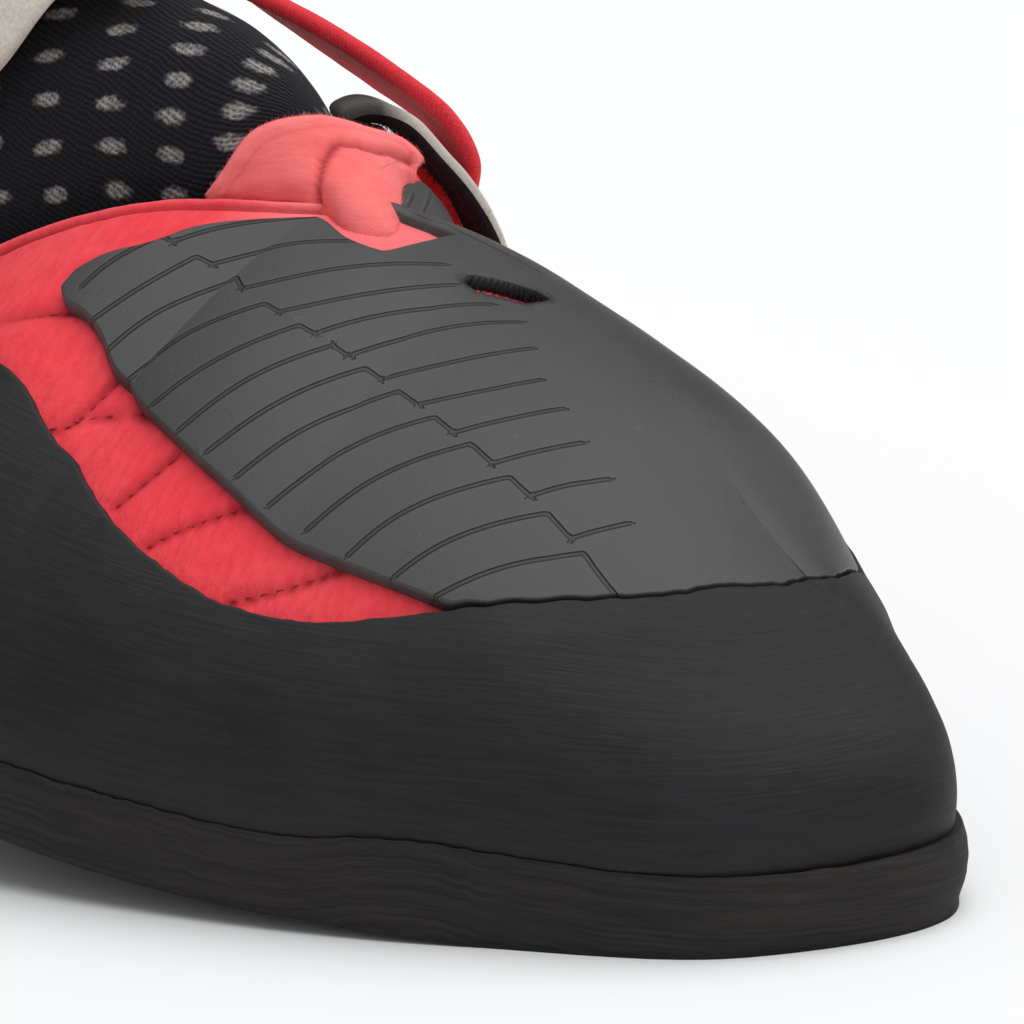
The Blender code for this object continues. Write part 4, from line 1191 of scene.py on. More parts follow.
@dataclass
class Sewing:
    """Rows of stitches along lines."""

    pitch: float = 2.2
    length: float = 1.5
    thickness: float = 0.36

    def rule(self) -> Rule:
        """Returns the tree that sets a stitch every pitch along a line."""
        rule = Rule("stitch_row", [
            ("Pitch", "NodeSocketFloat", self.pitch * MM),
            ("Length", "NodeSocketFloat", self.length * MM),
            ("Thickness", "NodeSocketFloat", self.thickness * MM),
            ("Material", "NodeSocketMaterial", None),
        ])
        given = rule.source.outputs
        curve = rule.add("GeometryNodeMeshToCurve", {"Mesh": given["Geometry"]})
        even = rule.add("GeometryNodeResampleCurve", {"Curve": curve.outputs[0]}, mode="LENGTH")
        rule.tree.links.new(given["Pitch"], even.inputs["Length"])
        bead = rule.add("GeometryNodeMeshUVSphere", {"Segments": 6, "Rings": 5, "Radius": 0.5})
        size = rule.add("ShaderNodeCombineXYZ", {
            "X": given["Length"], "Y": given["Thickness"], "Z": given["Thickness"],
        })
        tangent = rule.add("GeometryNodeInputTangent")
        turn = rule.add("FunctionNodeAlignRotationToVector", {"Vector": tangent.outputs[0]}, axis="X")
        placed = rule.add("GeometryNodeInstanceOnPoints", {
            "Points": even.outputs[0], "Instance": bead.outputs["Mesh"],
            "Rotation": turn.outputs[0], "Scale": size.outputs[0],
        })
        rule.close(placed.outputs[0])
        return rule

    def sew(self, name: str, lines: Sequence[np.ndarray], material: bpy.types.Material) -> bpy.types.Object:
        """Returns stitches along lines in millimetres."""
        places: List[List[float]] = []
        edges: List[Tuple[int, int]] = []
        for line in lines:
            start = len(places)
            places.extend((np.asarray(line) * MM).tolist())
            edges.extend((k, k + 1) for k in range(start, len(places) - 1))
        mesh = bpy.data.meshes.new(name + "_line")
        mesh.from_pydata(places, edges, [])
        return self.rule().apply(linked(name + "_line", mesh), name, material)


@dataclass
class Fluff:
    """Short loose fibres that stand on a surface."""

    count: float = 900000.0
    length: float = 0.55
    thickness: float = 0.045
    seed: int = 5

    def rule(self) -> Rule:
        """Returns the tree that scatters leaning fibres."""
        rule = Rule("loose_fibres", [
            ("Density", "NodeSocketFloat", self.count),
            ("Length", "NodeSocketFloat", self.length * MM),
            ("Thickness", "NodeSocketFloat", self.thickness * MM),
            ("Seed", "NodeSocketInt", self.seed),
            ("Material", "NodeSocketMaterial", None),
        ])
        given = rule.source.outputs
        points = rule.add("GeometryNodeDistributePointsOnFaces", {
            "Mesh": given["Geometry"], "Density": given["Density"], "Seed": given["Seed"],
        })
        cone = rule.add("GeometryNodeMeshCone", {
            "Vertices": 3, "Side Segments": 1, "Fill Segments": 1,
            "Radius Top": 0.12, "Radius Bottom": 0.5, "Depth": 1.0,
        })
        wide = rule.add("ShaderNodeCombineXYZ", {
            "X": given["Thickness"], "Y": given["Thickness"], "Z": given["Length"],
        })
        lean = rule.add("FunctionNodeRandomValue", {
            0: (-0.9, -0.9, 0.0), 1: (0.9, 0.9, 6.28), "Seed": given["Seed"],
        }, data_type="FLOAT_VECTOR")
        turned = rule.add("FunctionNodeRotateRotation", {
            "Rotation": points.outputs["Rotation"], "Rotate By": lean.outputs[0],
        }, rotation_space="LOCAL")
        placed = rule.add("GeometryNodeInstanceOnPoints", {
            "Points": points.outputs["Points"], "Instance": cone.outputs["Mesh"],
            "Rotation": turned.outputs[0], "Scale": wide.outputs[0],
        })
        rule.close(placed.outputs[0])
        return rule

    def grow(
        self, name: str, on: bpy.types.Object, keep: Callable[[np.ndarray], np.ndarray],
        material: bpy.types.Material,
    ) -> bpy.types.Object:
        """Returns fibres on those faces of an object whose centres pass a test.

        Args:
            name: name of the piece.
            on: object that carries the fibres.
            keep: tells from centres in millimetres which faces count.
            material: material of the fibres.
        """
        source = on.data
        centres = np.empty(len(source.polygons) * 3)
        source.polygons.foreach_get("center", centres)
        chosen = np.flatnonzero(keep(centres.reshape(-1, 3) / MM))
        used: Dict[int, int] = {}
        faces = []
        for k in chosen.tolist():
            faces.append([used.setdefault(i, len(used)) for i in source.polygons[k].vertices])
        mesh = bpy.data.meshes.new(name + "_bed")
        mesh.from_pydata([source.vertices[i].co for i in used], [], faces)
        return self.rule().apply(linked(name + "_bed", mesh), name, material)


def settle(obj: bpy.types.Object, slot: str, *nodes: str) -> bpy.types.Object:
    """Rides a piece on the shoe and hides the solids that it stands for."""
    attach(obj, "root")
    if nodes:
        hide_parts(*nodes)
    LOG.info("%s: %d faces", obj.name, len(obj.data.polygons))
    return obj


@dataclass
class Outsole:
    """Rubber sole with a ground side wall and a flat tread."""

    overhang: float = 2.3
    toe_over: float = 1.2
    edge: float = 8.1
    crown: float = 2.4
    seam_wave: float = 0.25
    toe_start: float = 0.84
    toe_drop: float = 0.9

    def profile(self) -> np.ndarray:
        """Returns rows as share of the half width, lift in crowns and drop below the top."""
        side = [(1.0, -1.0, drop) for drop in (0.12, 0.4, 0.9, 1.6, 2.4, 3.2, 4.0, 4.8, 5.6, 6.4, 7.2)]
        return np.array([(0.90, -1.0, 0.0), (0.985, -1.0, 0.0)] + side + [
            (1.0, 1.0, 0.0), (0.992, 0.93, 0.0), (0.98, 0.84, 0.0), (0.965, 0.74, 0.0),
            (0.945, 0.61, 0.0), (0.92, 0.48, 0.0), (0.90, 0.40, 0.0), (0.86, 0.26, 0.0), (0.80, 0.13, 0.0),
            (0.72, 0.03, 0.0), (0.62, 0.0, 0.0), (0.40, 0.0, 0.0), (0.20, 0.0, 0.0), (0.0, 0.0, 0.0),
        ])

    def toe_share(self, u: np.ndarray) -> np.ndarray:
        """Returns 0 behind the toe and 1 under it, where the sole reaches further down."""
        return np.clip((u - self.toe_start) / 0.05, 0.0, 1.0)

    def side_row(
        self, side: Side, u: np.ndarray, point: np.ndarray, edge_z: np.ndarray, drop: float
    ) -> np.ndarray:
        """Returns a row of the upright side, with its sanded unevenness.

        Args:
            side: side of the shoe.
            u: stations of the row.
            point: the row on the plain outline.
            edge_z: height of the foot line, from which the row drops.
            drop: how far the row lies below the top edge.
        """
        low_rise = 0.3 * np.clip((u - 0.9) / 0.1, 0.0, 1.0) ** 2
        rise = Track(SOLE_SEAM, monotone=True).at(u)[:, 0] if side == Side.OUTER else low_rise
        wave = self.seam_wave * np.abs(ragged(u, 0.005, 3)) * (u < 0.999) * (drop < 0.2)
        ripple = 0.08 * ragged(u, 0.011, 40 + int(10 * drop)) * (u < 0.999) if drop > 0.2 else -0.12
        out = ripple + 0.18 * rise * (1.0 - drop / self.edge)
        deeper = self.toe_share(u) * np.clip(edge_z - self.edge, 0.0, self.toe_drop)
        point[:, 2] = edge_z + rise - drop * (self.edge + rise + deeper) / self.edge - wave
        point[:, :2] += LAST.outward(side, u) * np.broadcast_to(out, len(u))[:, None]
        return point

    def build(self, finishes: Finishes) -> bpy.types.Object:
        """Makes the sole.

        Returns:
            The new object.
        """
        u = spread(0.0, 1.0, 0.005, ((0.6, 1.0, 0.0022),))
        rows = self.profile()
        points, quads, uvs = [], [], []
        count = 0
        toe = self.toe_over * np.clip((u - 0.93) / 0.05, 0.0, 1.0)
        for side in Side:
            edge_z = LAST.foot[side].at(u)[:, 2] - GAP
            tread = LAST.tread.at(u)[:, 0]
            foot = edge_z - self.edge
            lowered = np.maximum(foot - self.toe_drop * self.toe_share(u), 0.0)
            foot = np.where(u > self.toe_start, lowered, foot)
            base = np.minimum(tread, foot)
            crown = np.minimum(foot - base, self.crown)
            grid = []
            for share, lift, drop in rows:
                # The wall swells most a little above its middle.
                swell = 1.0 - 0.65 * ((drop - 3.4) / 3.6) ** 2 if lift < 0 else 0.35
                point = LAST.floor_point(side, u, np.full(len(u), share), self.overhang + toe * swell)
                if lift >= 0:
                    point[:, 2] = base + crown * lift + (foot - base - crown) * lift ** 4
                elif share < 1.0:
                    point[:, 2] = edge_z
                else:
                    point = self.side_row(side, u, point, edge_z, drop)
                grid.append(point)
            grid = np.stack(grid, axis=1)
            # Both ends of the two sides meet exactly.
            grid[0] = np.round(grid[0], 1)
            grid[-1] = np.round(grid[-1], 1)
            along = np.repeat(run_along(grid[:, 5])[:, None], len(rows), axis=1)
            uvs.append(np.stack([along, run_across(grid)], axis=-1).reshape(-1, 2))
            quad = grid_faces(len(u), len(rows), count)[:, [0, 3, 2, 1]]
            quads.append(quad if side == Side.OUTER else quad[:, ::-1])
            points.append(grid.reshape(-1, 3))
            count += len(points[-1])
        surface = Surface(np.concatenate(points), np.concatenate(quads), np.concatenate(uvs))
        surface.values["rim"] = np.full(len(surface.points), 5.0)
        obj = surface.build("sole_rubber", finishes.sole, np.zeros(len(surface.points)))
        return settle(obj, "sole_rubber", "outsole")


@dataclass
class Rand:
    """Rubber band round the foot, thinned at its top edge."""

    thick: float = 1.65
    top_thick: float = 0.85
    toe_thick: float = 1.45
    bulge_u: float = 0.893
    bulge_v: float = 0.36

    def build(self, finishes: Finishes) -> bpy.types.Object:
        """Makes the rand and returns it."""
        u = spread(0.0, 1.0, 0.006, ((0.6, 1.0, 0.0020),))
        surface = last_surface(
            list(Side), {s: u for s in Side}, level(0.0), lambda s, at: patch_seam(s, at) - 0.0006, 48, 0.75
        )
        side, at_u, at_v = surface.labels.T
        top = np.where(side < 0, LAST.rand_top(Side.OUTER, at_u), LAST.rand_top(Side.INNER, at_u))
        rim = surface.rim_distance(lambda row: row[2] > 0.05)
        toe = np.clip((at_u - 0.855) / 0.03, 0.0, 1.0)
        edge = self.top_thick + (self.toe_thick - self.top_thick) * toe
        swell = 0.35 * toe * trough(rim - 4.0, 3.0)
        thin = edge + (self.thick - edge) * np.clip(rim / 9.0, 0.0, 1.0) ** 0.7 + swell
        relief = 0.10 * lumps(surface.points, 9.0) + 0.05 * lumps(surface.points, 3.5, 4.0)
        bulge = trough(at_u - self.bulge_u, 0.016) * trough(at_v - self.bulge_v, 0.11)
        relief = relief + 0.55 * bulge * (side < 0)
        foot = np.clip(at_v / np.maximum(top, 0.05) / 0.05, 0.0, 1.0)
        offset = -0.15 + (GAP + thin + 0.15 + relief * foot) * rounded(rim, 0.4)
        surface.values["rim"] = rim
        obj = surface.build("rand_rubber", finishes.rand, offset)
        return settle(obj, "rand_rubber", "rand")


@dataclass
class ToePatch:
    """Toe-hook rubber with a notch, a slot and stepped grooves."""

    thick: float = 1.25
    edge_round: float = 0.4

    def grooves(
        self, rows: Sequence[Sequence[Tuple[float, float]]], side: Side, smooth: Sequence[int]
    ) -> List[np.ndarray]:
        """Returns the grooves as lines on the last.

        Args:
            rows: u and v of each groove's points.
            side: side of the shoe.
            smooth: numbers of points that start a new straight stretch, such as a step.
        """
        lines = []
        for row in rows:
            places = []
            cuts = [0] + [k for k in smooth if k < len(row)] + [len(row) - 1]
            for a, b in zip(cuts[:-1], cuts[1:]):
                part = np.array(row[a:b + 1], float)
                t = np.arange(len(part), dtype=float)
                if len(part) > 2:
                    track = Track(np.concatenate([t[:, None], part], axis=1))
                    part = track.at(np.linspace(0, len(part) - 1, 24))
                else:
                    part = part[0] + (part[1] - part[0]) * np.linspace(0, 1, 8)[:, None]
                places.append(LAST.point(side, part[:, 0], part[:, 1]))
            lines.append(np.concatenate(places))
        return lines

    def slot_open(self, side: Side, u: np.ndarray, v: np.ndarray) -> np.ndarray:
        """Returns which places lie in the slot, in a plan laid over the ridge."""
        # Heights on the inner side count on past the ridge.
        across = np.where(side == Side.OUTER, v, 2.0 - v)
        corners = [(c[1], c[2] if c[0] == Side.OUTER else 2.0 - c[2]) for c in SLOT]
        inside = np.zeros(len(u), bool)
        for k in range(len(corners)):
            (ua, va), (ub, vb) = corners[k - 1], corners[k]
            crosses = (va > across) != (vb > across)
            with np.errstate(divide="ignore", invalid="ignore"):
                at = (ub - ua) * (across - va) / (vb - va if vb != va else 1e-9) + ua
            inside ^= crosses & (u < at)
        return inside

    def low_edge(self, edge: Track, side: Side, u: np.ndarray) -> np.ndarray:
        """Returns the height v of the patch's lower edge, which meets the rand towards the toe."""
        join = PATCH_OUTER[-1][0]
        apart = 0.0014 + 0.0066 * np.exp(-np.maximum(u - join, 0.0) / 0.006)
        return np.where(u >= join, patch_seam(side, u) + apart, edge.at(u)[..., 0])

    def build(self, finishes: Finishes) -> bpy.types.Object:
        """Makes the patch and returns it."""
        edges = {Side.OUTER: Track(PATCH_OUTER, monotone=True), Side.INNER: Track(PATCH_INNER, monotone=True)}
        before = spread(0.654, 0.676, 0.0018, ((0.654, 0.672, 0.0006),))
        fine = ((0.676, 0.70, 0.0008), (0.745, 0.772, 0.0008), (0.80, 0.835, 0.0009))
        after = spread(0.676, 1.0, 0.0018, fine)
        stations = {Side.OUTER: np.concatenate([before[:-1], after]), Side.INNER: after}
        surface = last_surface(
            list(Side), stations, lambda s, at: self.low_edge(edges[s], s, at),
            lambda s, at: edges[s].at(at)[..., 1], 76, 0.72, self.slot_open,
        )
        rim = surface.rim_distance()
        relief = 0.05 * lumps(surface.points, 6.0, 2.0)
        offset = -0.10 + (GAP + self.thick + 0.10 + relief) * rounded(rim, self.edge_round)
        surface.values["rim"] = rim
        slot = np.array([LAST.point(side, np.array(u), np.array(v)) for side, u, v in SLOT])
        around = np.concatenate([line_points([slot[k - 1], slot[k]], 0.25) for k in range(len(slot))])
        surface.values["slot"] = surface.distance_to(around)
        outer = self.grooves(GROOVES, Side.OUTER, (2, 3))
        inner = self.grooves(WING_GROOVES, Side.INNER, ())
        for name, lines in (("even", outer[0::2] + inner[0::2]), ("odd", outer[1::2] + inner[1::2])):
            surface.values["groove_" + name] = surface.side_of_lines(lines)
            marks = np.concatenate([line_points(line, 0.3) for line in lines])
            surface.values["reach_" + name] = surface.distance_to(marks)
        obj = surface.build("toe_patch_rubber", finishes.patch, offset)
        return settle(obj, "patch_rubber", "toe_patch")


@dataclass
class HeelCup:
    """Rubber cup above the rand at the heel."""

    thick: float = 1.5
    top: Tuple[Tuple[float, float], ...] = (
        (0.000, 0.900), (0.045, 0.880), (0.100, 0.780), (0.140, 0.620), (0.165, 0.480),
    )

    def build(self, finishes: Finishes) -> bpy.types.Object:
        """Makes the cup and returns it."""
        edge = Track(self.top, monotone=True)
        u = spread(0.0, self.top[-1][0], 0.003, ((0.15, 0.165, 0.001),))
        surface = last_surface(
            list(Side), {s: u for s in Side}, lambda s, at: LAST.rand_top(s, at) + 0.006,
            lambda s, at: edge.at(at)[..., 0], 40, 0.7,
        )
        rim = surface.rim_distance()
        offset = -0.10 + (GAP + self.thick + 0.10 + 0.06 * lumps(surface.points, 6.0)) * rounded(rim, 0.9)
        surface.values["rim"] = rim
        obj = surface.build("heel_cup_rubber", finishes.rand, offset)
        return settle(obj, "rand_rubber", "heel_cup")


@dataclass
class Upper:
    """Suede upper with a rolled collar and sewn channels, hollow inside."""

    wall: float = 2.0
    fold: float = 1.95
    channel_depth: float = 0.55
    channel_width: float = 0.55

    def channels(self) -> List[np.ndarray]:
        """Returns the sewn channels as lines on the last, the photo's ones and those behind them."""
        lines = []
        for row in CHANNELS:
            part = np.array(row, float)
            if len(part) > 2:
                t = np.arange(len(part), dtype=float)
                part = Track(np.concatenate([t[:, None], part], axis=1)).at(np.linspace(0, len(part) - 1, 20))
            lines.append(LAST.point(Side.OUTER, part[:, 0], part[:, 1]))
        # Zigzag channels go on along the outer quarter and back along the inner side.
        for side, start, end, step in ((Side.OUTER, 0.20, 0.63, 0.062), (Side.INNER, 0.20, 0.66, 0.066)):
            marks = np.arange(start, end, step)
            for k, u0 in enumerate(marks):
                u = np.linspace(u0, u0 + step * (0.75 if k % 2 else 0.2), 14)
                low = LAST.rand_top(side, u) + 0.01
                high = np.full(len(u), 0.86)
                share = np.linspace(0.0, 1.0, 14)
                lines.append(LAST.point(side, u, low + (high - low) * share))
        return lines

    def collar_line(self, side: Side, below: float, out: float) -> np.ndarray:
        """Returns a line at a distance below the collar's edge.

        Args:
            side: side of the shoe.
            below: distance from the edge, in millimetres.
            out: distance outside the last, in millimetres.
        """
        u = np.linspace(0.0, THROAT_U, 160)
        lower = 0.03
        rise = LAST.point(side, u, np.ones(160)) - LAST.point(side, u, np.full(160, 1.0 - lower))
        v = 1.0 - lower * below / np.maximum(np.linalg.norm(rise, axis=1), 0.05)
        return LAST.offset(side, u, v, out)

    def build(self, finishes: Finishes) -> List[bpy.types.Object]:
        """Makes the upper and its stitches.

        Returns:
            The suede shell and the sewing.
        """
        u = spread(0.0, 1.0, 0.006, ((0.12, 0.58, 0.0035), (0.58, 0.86, 0.0018)))
        surface = last_surface(list(Side), {s: u for s in Side}, level(0.0), level(1.0), 84, 0.35)
        collar = surface.rim_distance(lambda row: row[2] > 0.5)
        lines = self.channels()
        marks = np.concatenate([line_points(line, 0.25) for line in lines])
        near = surface.distance_to(marks)
        crease = trough(near, self.channel_width)
        puff = 1.0 - np.exp(-near / 2.6)
        fold = trough(collar - self.fold, 0.34)
        roll = 0.45 * np.exp(-((collar - 0.9) / 0.75) ** 2)
        relief = 0.28 * puff - self.channel_depth * crease - 0.70 * fold + roll - 0.28
        soft = 0.10 * lumps(surface.points, 4.0) + 0.05 * lumps(surface.points, 1.6, 3.0)
        half = 0.5 * self.wall
        round_top = rounded(collar, 1.0)
        # Under the rubber of the toe the upper lies deeper and is painted in shade, so that no red shows at
        # the seams.
        _, at_u, at_v = surface.labels.T
        covered = np.clip((at_u - 0.864) / 0.010, 0.0, 1.0)
        front = -half + (half + relief + soft - 0.55 * covered) * round_top
        back = -half - half * round_top
        # Painted shade in the sewn channels, in the fold under the collar's roll and on the upper under the
        # toe rubber.
        surface.values["crease"] = np.clip(0.75 * crease + 1.1 * fold + covered, 0.0, 1.0)
        throat = np.clip((at_u - 0.672) / 0.018, 0.0, 1.0) * np.clip((0.80 - at_u) / 0.02, 0.0, 1.0)
        throat = throat * np.clip((at_v - 0.80) / 0.06, 0.0, 1.0)
        surface.values["pale"] = np.clip(0.85 * throat + 0.35 * np.exp(-((collar / 1.3) ** 2)), 0.0, 1.0)
        shell = surface.build("suede_upper", finishes.suede, front, back, finishes.lining)
        sewing = Sewing(1.5, 0.85, 0.22)
        sunk = [line_points(line, 0.6) for line in self.lowered(lines)]
        seams = sewing.sew("channel_stitches", sunk, finishes.thread)
        hem = Sewing(2.4, 1.5, 0.28).sew(
            "collar_stitches", [self.collar_line(s, self.fold, -0.42) for s in Side], finishes.thread
        )
        return [
            settle(shell, "red_suede", "upper"), settle(seams, "red_suede"), settle(hem, "red_suede"),
        ]

    def lowered(self, lines: Sequence[np.ndarray]) -> List[np.ndarray]:
        """Returns the channel lines sunk to the bottom of their creases."""
        middle = np.array((95.0, 2.0, 30.0))
        sunk = []
        for line in lines:
            inward = middle - line
            inward[:, 0] = 0.0
            inward = inward / np.linalg.norm(inward, axis=1, keepdims=True)
            sunk.append(line + inward * (self.channel_depth + 0.12))
        return sunk


@dataclass
class ThroatFlap:
    """Salmon suede flap that stands on the vamp's edge."""

    thick: float = 2.0

    def build(self, finishes: Finishes) -> List[bpy.types.Object]:
        """Makes the flap and the fibres on its edge."""
        surface = sheet_surface([[root] + column for root, column in zip(FLAP_ROOT, FLAP)], 110, 60)
        rim = surface.rim_distance(lambda row: row[2] > 0.02)
        root = surface.rim_distance(lambda row: row[2] < 0.001)
        soft = 0.12 * lumps(surface.points, 3.5) + 0.06 * lumps(surface.points, 1.4, 5.0)
        half = self.thick / 2
        # The flap thins out where it grows out of the vamp, and dips along the line where its end curls over.
        offset = (half + soft) * rounded(rim, half) * np.clip(root / 5.0, 0.0, 1.0) ** 0.7
        last_column = len(FLAP) - 1.0
        top_row = float(len(FLAP[0]))
        marks = [(k, column / last_column, row / top_row) for k, (column, row) in enumerate(FLAP_CREASE)]
        places = Track(marks).at(np.linspace(0.0, len(FLAP_CREASE) - 1.0, 80))
        found = [np.argmin(np.abs(surface.labels[:, 1:] - place).sum(axis=1)) for place in places]
        near = surface.distance_to(surface.points[found])
        surface.points = surface.points - surface.normal * (0.75 * trough(near, 0.7))[:, None]
        # Painted shade along the curl's crease and along a line a little inside the rim.
        crease = 0.2 * trough(rim - 1.9, 0.25) + 0.95 * trough(near, 0.42)
        surface.values["crease"] = np.clip(crease, 0.0, 1.0)
        surface.values["pale"] = 0.5 * np.exp(-((rim / 1.2) ** 2))
        flap = surface.build("suede_throat_flap", finishes.flap, offset, -offset * 0.999)
        tree = kdtree.KDTree(len(surface.rim))
        for k, (a, _) in enumerate(surface.rim):
            tree.insert(surface.points[a].tolist(), k)
        tree.balance()

        def near_rim(centres: np.ndarray) -> np.ndarray:
            """Returns which places lie near the flap's edge."""
            return np.array([tree.find(c)[2] < 1.0 for c in centres.tolist()])

        nap = Fluff(7.0e6, 0.36, 0.05, 3).grow("flap_nap", flap, near_rim, finishes.fibre)
        return [settle(flap, "flap_suede", "throat_flap"), settle(nap, "flap_suede")]


@dataclass
class Tongue:
    """Stretch knit tongue, arched over the instep."""

    thick: float = 2.4
    across: int = 24

    def grid(self) -> List[List[Tuple[float, float, float]]]:
        """Returns the tongue's points, row by row."""
        grid = []
        turn = math.sin(TONGUE_TURN)
        for x, y, z, half, fall in TONGUE:
            shares = np.linspace(-1.0, 1.0, self.across + 1)
            grid.append([
                (x - 0.12 * fall * w * w, y + half * math.sin(w * TONGUE_TURN) / turn, z - fall * w * w)
                for w in shares
            ])
        return grid

    def build(self, finishes: Finishes) -> bpy.types.Object:
        """Makes the tongue and returns it."""
        surface = sheet_surface(self.grid(), 170, 120)
        rim = surface.rim_distance()
        soft = 0.15 * lumps(surface.points, 9.0) + 0.05 * lumps(surface.points, 2.5, 5.0)
        half = self.thick / 2
        offset = (half + soft) * rounded(rim, half)
        obj = surface.build("knit_tongue", finishes.knit, offset, -offset)
        return settle(obj, "dotted_knit", "tongue")


def tongue_height(x: float, y: float) -> Optional[float]:
    """Returns the height of the tongue's middle surface over a point of the plan, or None beside it."""
    rows = np.array(TONGUE[::-1])
    share = 0.0
    for _ in range(6):
        at_x = x + 0.12 * np.interp(x, rows[:, 0], rows[:, 4]) * share * share
        middle, height, half, fall = (np.interp(at_x, rows[:, 0], rows[:, k]) for k in (1, 2, 3, 4))
        across = (y - middle) / half * math.sin(TONGUE_TURN)
        if abs(across) > 0.97 * math.sin(TONGUE_TURN) or x < TONGUE[-1][0]:
            return None
        share = math.asin(across) / TONGUE_TURN
    return height - fall * share * share


def rest_on_tongue(point: np.ndarray, lift: float) -> np.ndarray:
    """Returns a point raised so that a sheet through it clears the tongue by its lift."""
    x, y, z = point
    height = tongue_height(x, y)
    if height is None:
        return point
    slopes = []
    for dx, dy in ((0.5, 0.0), (0.0, 0.5)):
        ends = [tongue_height(x + dx * k, y + dy * k) for k in (-1, 1)]
        slopes.append(0.0 if None in ends else ends[1] - ends[0])
    steep = min(math.sqrt(1.0 + slopes[0] ** 2 + slopes[1] ** 2), 2.4)
    return np.array((x, y, max(z, height + lift * steep)))


def ribbon_grid(
    table: Sequence[Sequence[float]], across: int, front: Sequence[float] = ()
) -> List[List[np.ndarray]]:
    """Returns points across each row of a table that gives a front edge and the way to the rear edge.

    Args:
        table: front edge and way to the rear edge of each row.
        across: number of steps across a row.
        front: how far each row reaches past the front edge; it then goes 1.2 past the rear edge too.
    """
    rows = []
    for k, (x, y, z, dx, dy, dz) in enumerate(table):
        way = np.array((dx, dy, dz))
        unit = way / np.linalg.norm(way)
        start = np.array((x, y, z)) - (unit * front[k] if front else 0.0)
        end = np.array((x, y, z)) + way + (unit * 1.2 if front else 0.0)
        rows.append([start + (end - start) * i / across for i in range(across + 1)])
    return rows


@dataclass
class Strap:
    """Instep strap with its pale end, the curl at its fixed end and the hook pad under it."""

    thick: float = 2.2
    tab_thick: float = 1.2
    anchor_thick: float = 2.4
    pad_thick: float = 1.0

    def ribbon(
        self, name: str, grid: Sequence, thick: float, shift: float, finish: bpy.types.Material,
        lining: Optional[bpy.types.Material] = None, fine: Tuple[int, int] = (120, 30),
        shaded_end: bool = False,
    ) -> bpy.types.Object:
        """Makes a strip of cloth.

        Args:
            name: name of the piece.
            grid: its coarse points.
            thick: thickness in millimetres.
            shift: distance of its middle from the points.
            finish: material of the front.
            lining: material of the back, if it is another.
            fine: rows and columns of faces.
            shaded_end: paint shade on the turned-in end and on the edge next to the flap.
        """
        surface = sheet_surface(grid, *fine)
        rim = surface.rim_distance()
        half = thick / 2
        soft = 0.05 * lumps(surface.points, 2.5)
        rise = (half + soft) * rounded(rim, half)
        # Painted shade along a line a little inside the edge.
        surface.values["crease"] = 0.55 * trough(rim - 2.2, 0.22)
        # Painted shade on the turned-in end and on the edge next to the flap.
        if shaded_end:
            end = np.clip((surface.labels[:, 1] - 0.66) / 0.14, 0.0, 1.0)
            edge = np.clip((surface.labels[:, 2] - 0.72) / 0.2, 0.0, 1.0)
            surface.values["crease"] = np.maximum(end, edge)
        return surface.build(name, finish, shift + rise, shift - rise, lining)

    def lifted(self, rows: Sequence[Sequence[np.ndarray]]) -> List[List[np.ndarray]]:
        """Returns points raised clear of the tongue."""
        return [[rest_on_tongue(point, STRAP_LIFT) for point in row] for row in rows]

    def build(self, finishes: Finishes) -> List[bpy.types.Object]:
        """Makes all pieces of the strap."""
        rows = self.lifted(ribbon_grid(STRAP, 5))
        band = self.ribbon("instep_strap", rows, self.thick, 0.0, finishes.strap)
        rows = self.lifted(ribbon_grid(STRAP[TAB_START:], 5, TAB_SHOWS))
        shift = -(self.thick / 2 + GAP + self.tab_thick / 2 + 0.2)
        tab = self.ribbon("pale_strap_end", rows, self.tab_thick, shift, finishes.tab)
        rows = ribbon_grid(ANCHOR, 3)
        curl = self.ribbon(
            "strap_curl", rows, self.anchor_thick, 0.0, finishes.pile, finishes.curl, (90, 30), True
        )
        fluff = Fluff(4.0e6, 0.8, 0.07, 8).grow("curl_fluff", curl, self.dark_side, finishes.fluff)
        u = np.linspace(0.375, 0.475, 50)
        surface = last_surface([Side.OUTER], {Side.OUTER: u}, level(0.64), level(0.90), 24, 0.5)
        rim = surface.rim_distance()
        surface.values["crease"] = np.zeros(len(rim))
        top = GAP + self.pad_thick * rounded(rim, 0.7)
        pad = surface.build("hook_pad_pile", finishes.pile, top, GAP + 0 * rim)
        return [
            settle(band, "red_webbing", "strap"), settle(tab, "pale_felt", "strap_tab"),
            settle(curl, "red_webbing", "strap_anchor"), settle(fluff, "dark_pile"),
            settle(pad, "dark_pile", "hook_pad"),
        ]

    def dark_side(self, centres: np.ndarray) -> np.ndarray:
        """Returns which places lie on the curl's inner, dark side."""
        table = np.array(ANCHOR, float)
        line = table[:, :3] + 0.5 * table[:, 3:]
        away = centres[:, None, :] - line[None, :, :]
        nearest = np.argmin(np.linalg.norm(away, axis=2), axis=1)
        inward = np.array((118.0, 24.0, 56.0)) - line
        inward = inward / np.linalg.norm(inward, axis=1, keepdims=True)
        return (away[np.arange(len(centres)), nearest] * inward[nearest]).sum(axis=1) > 0.5


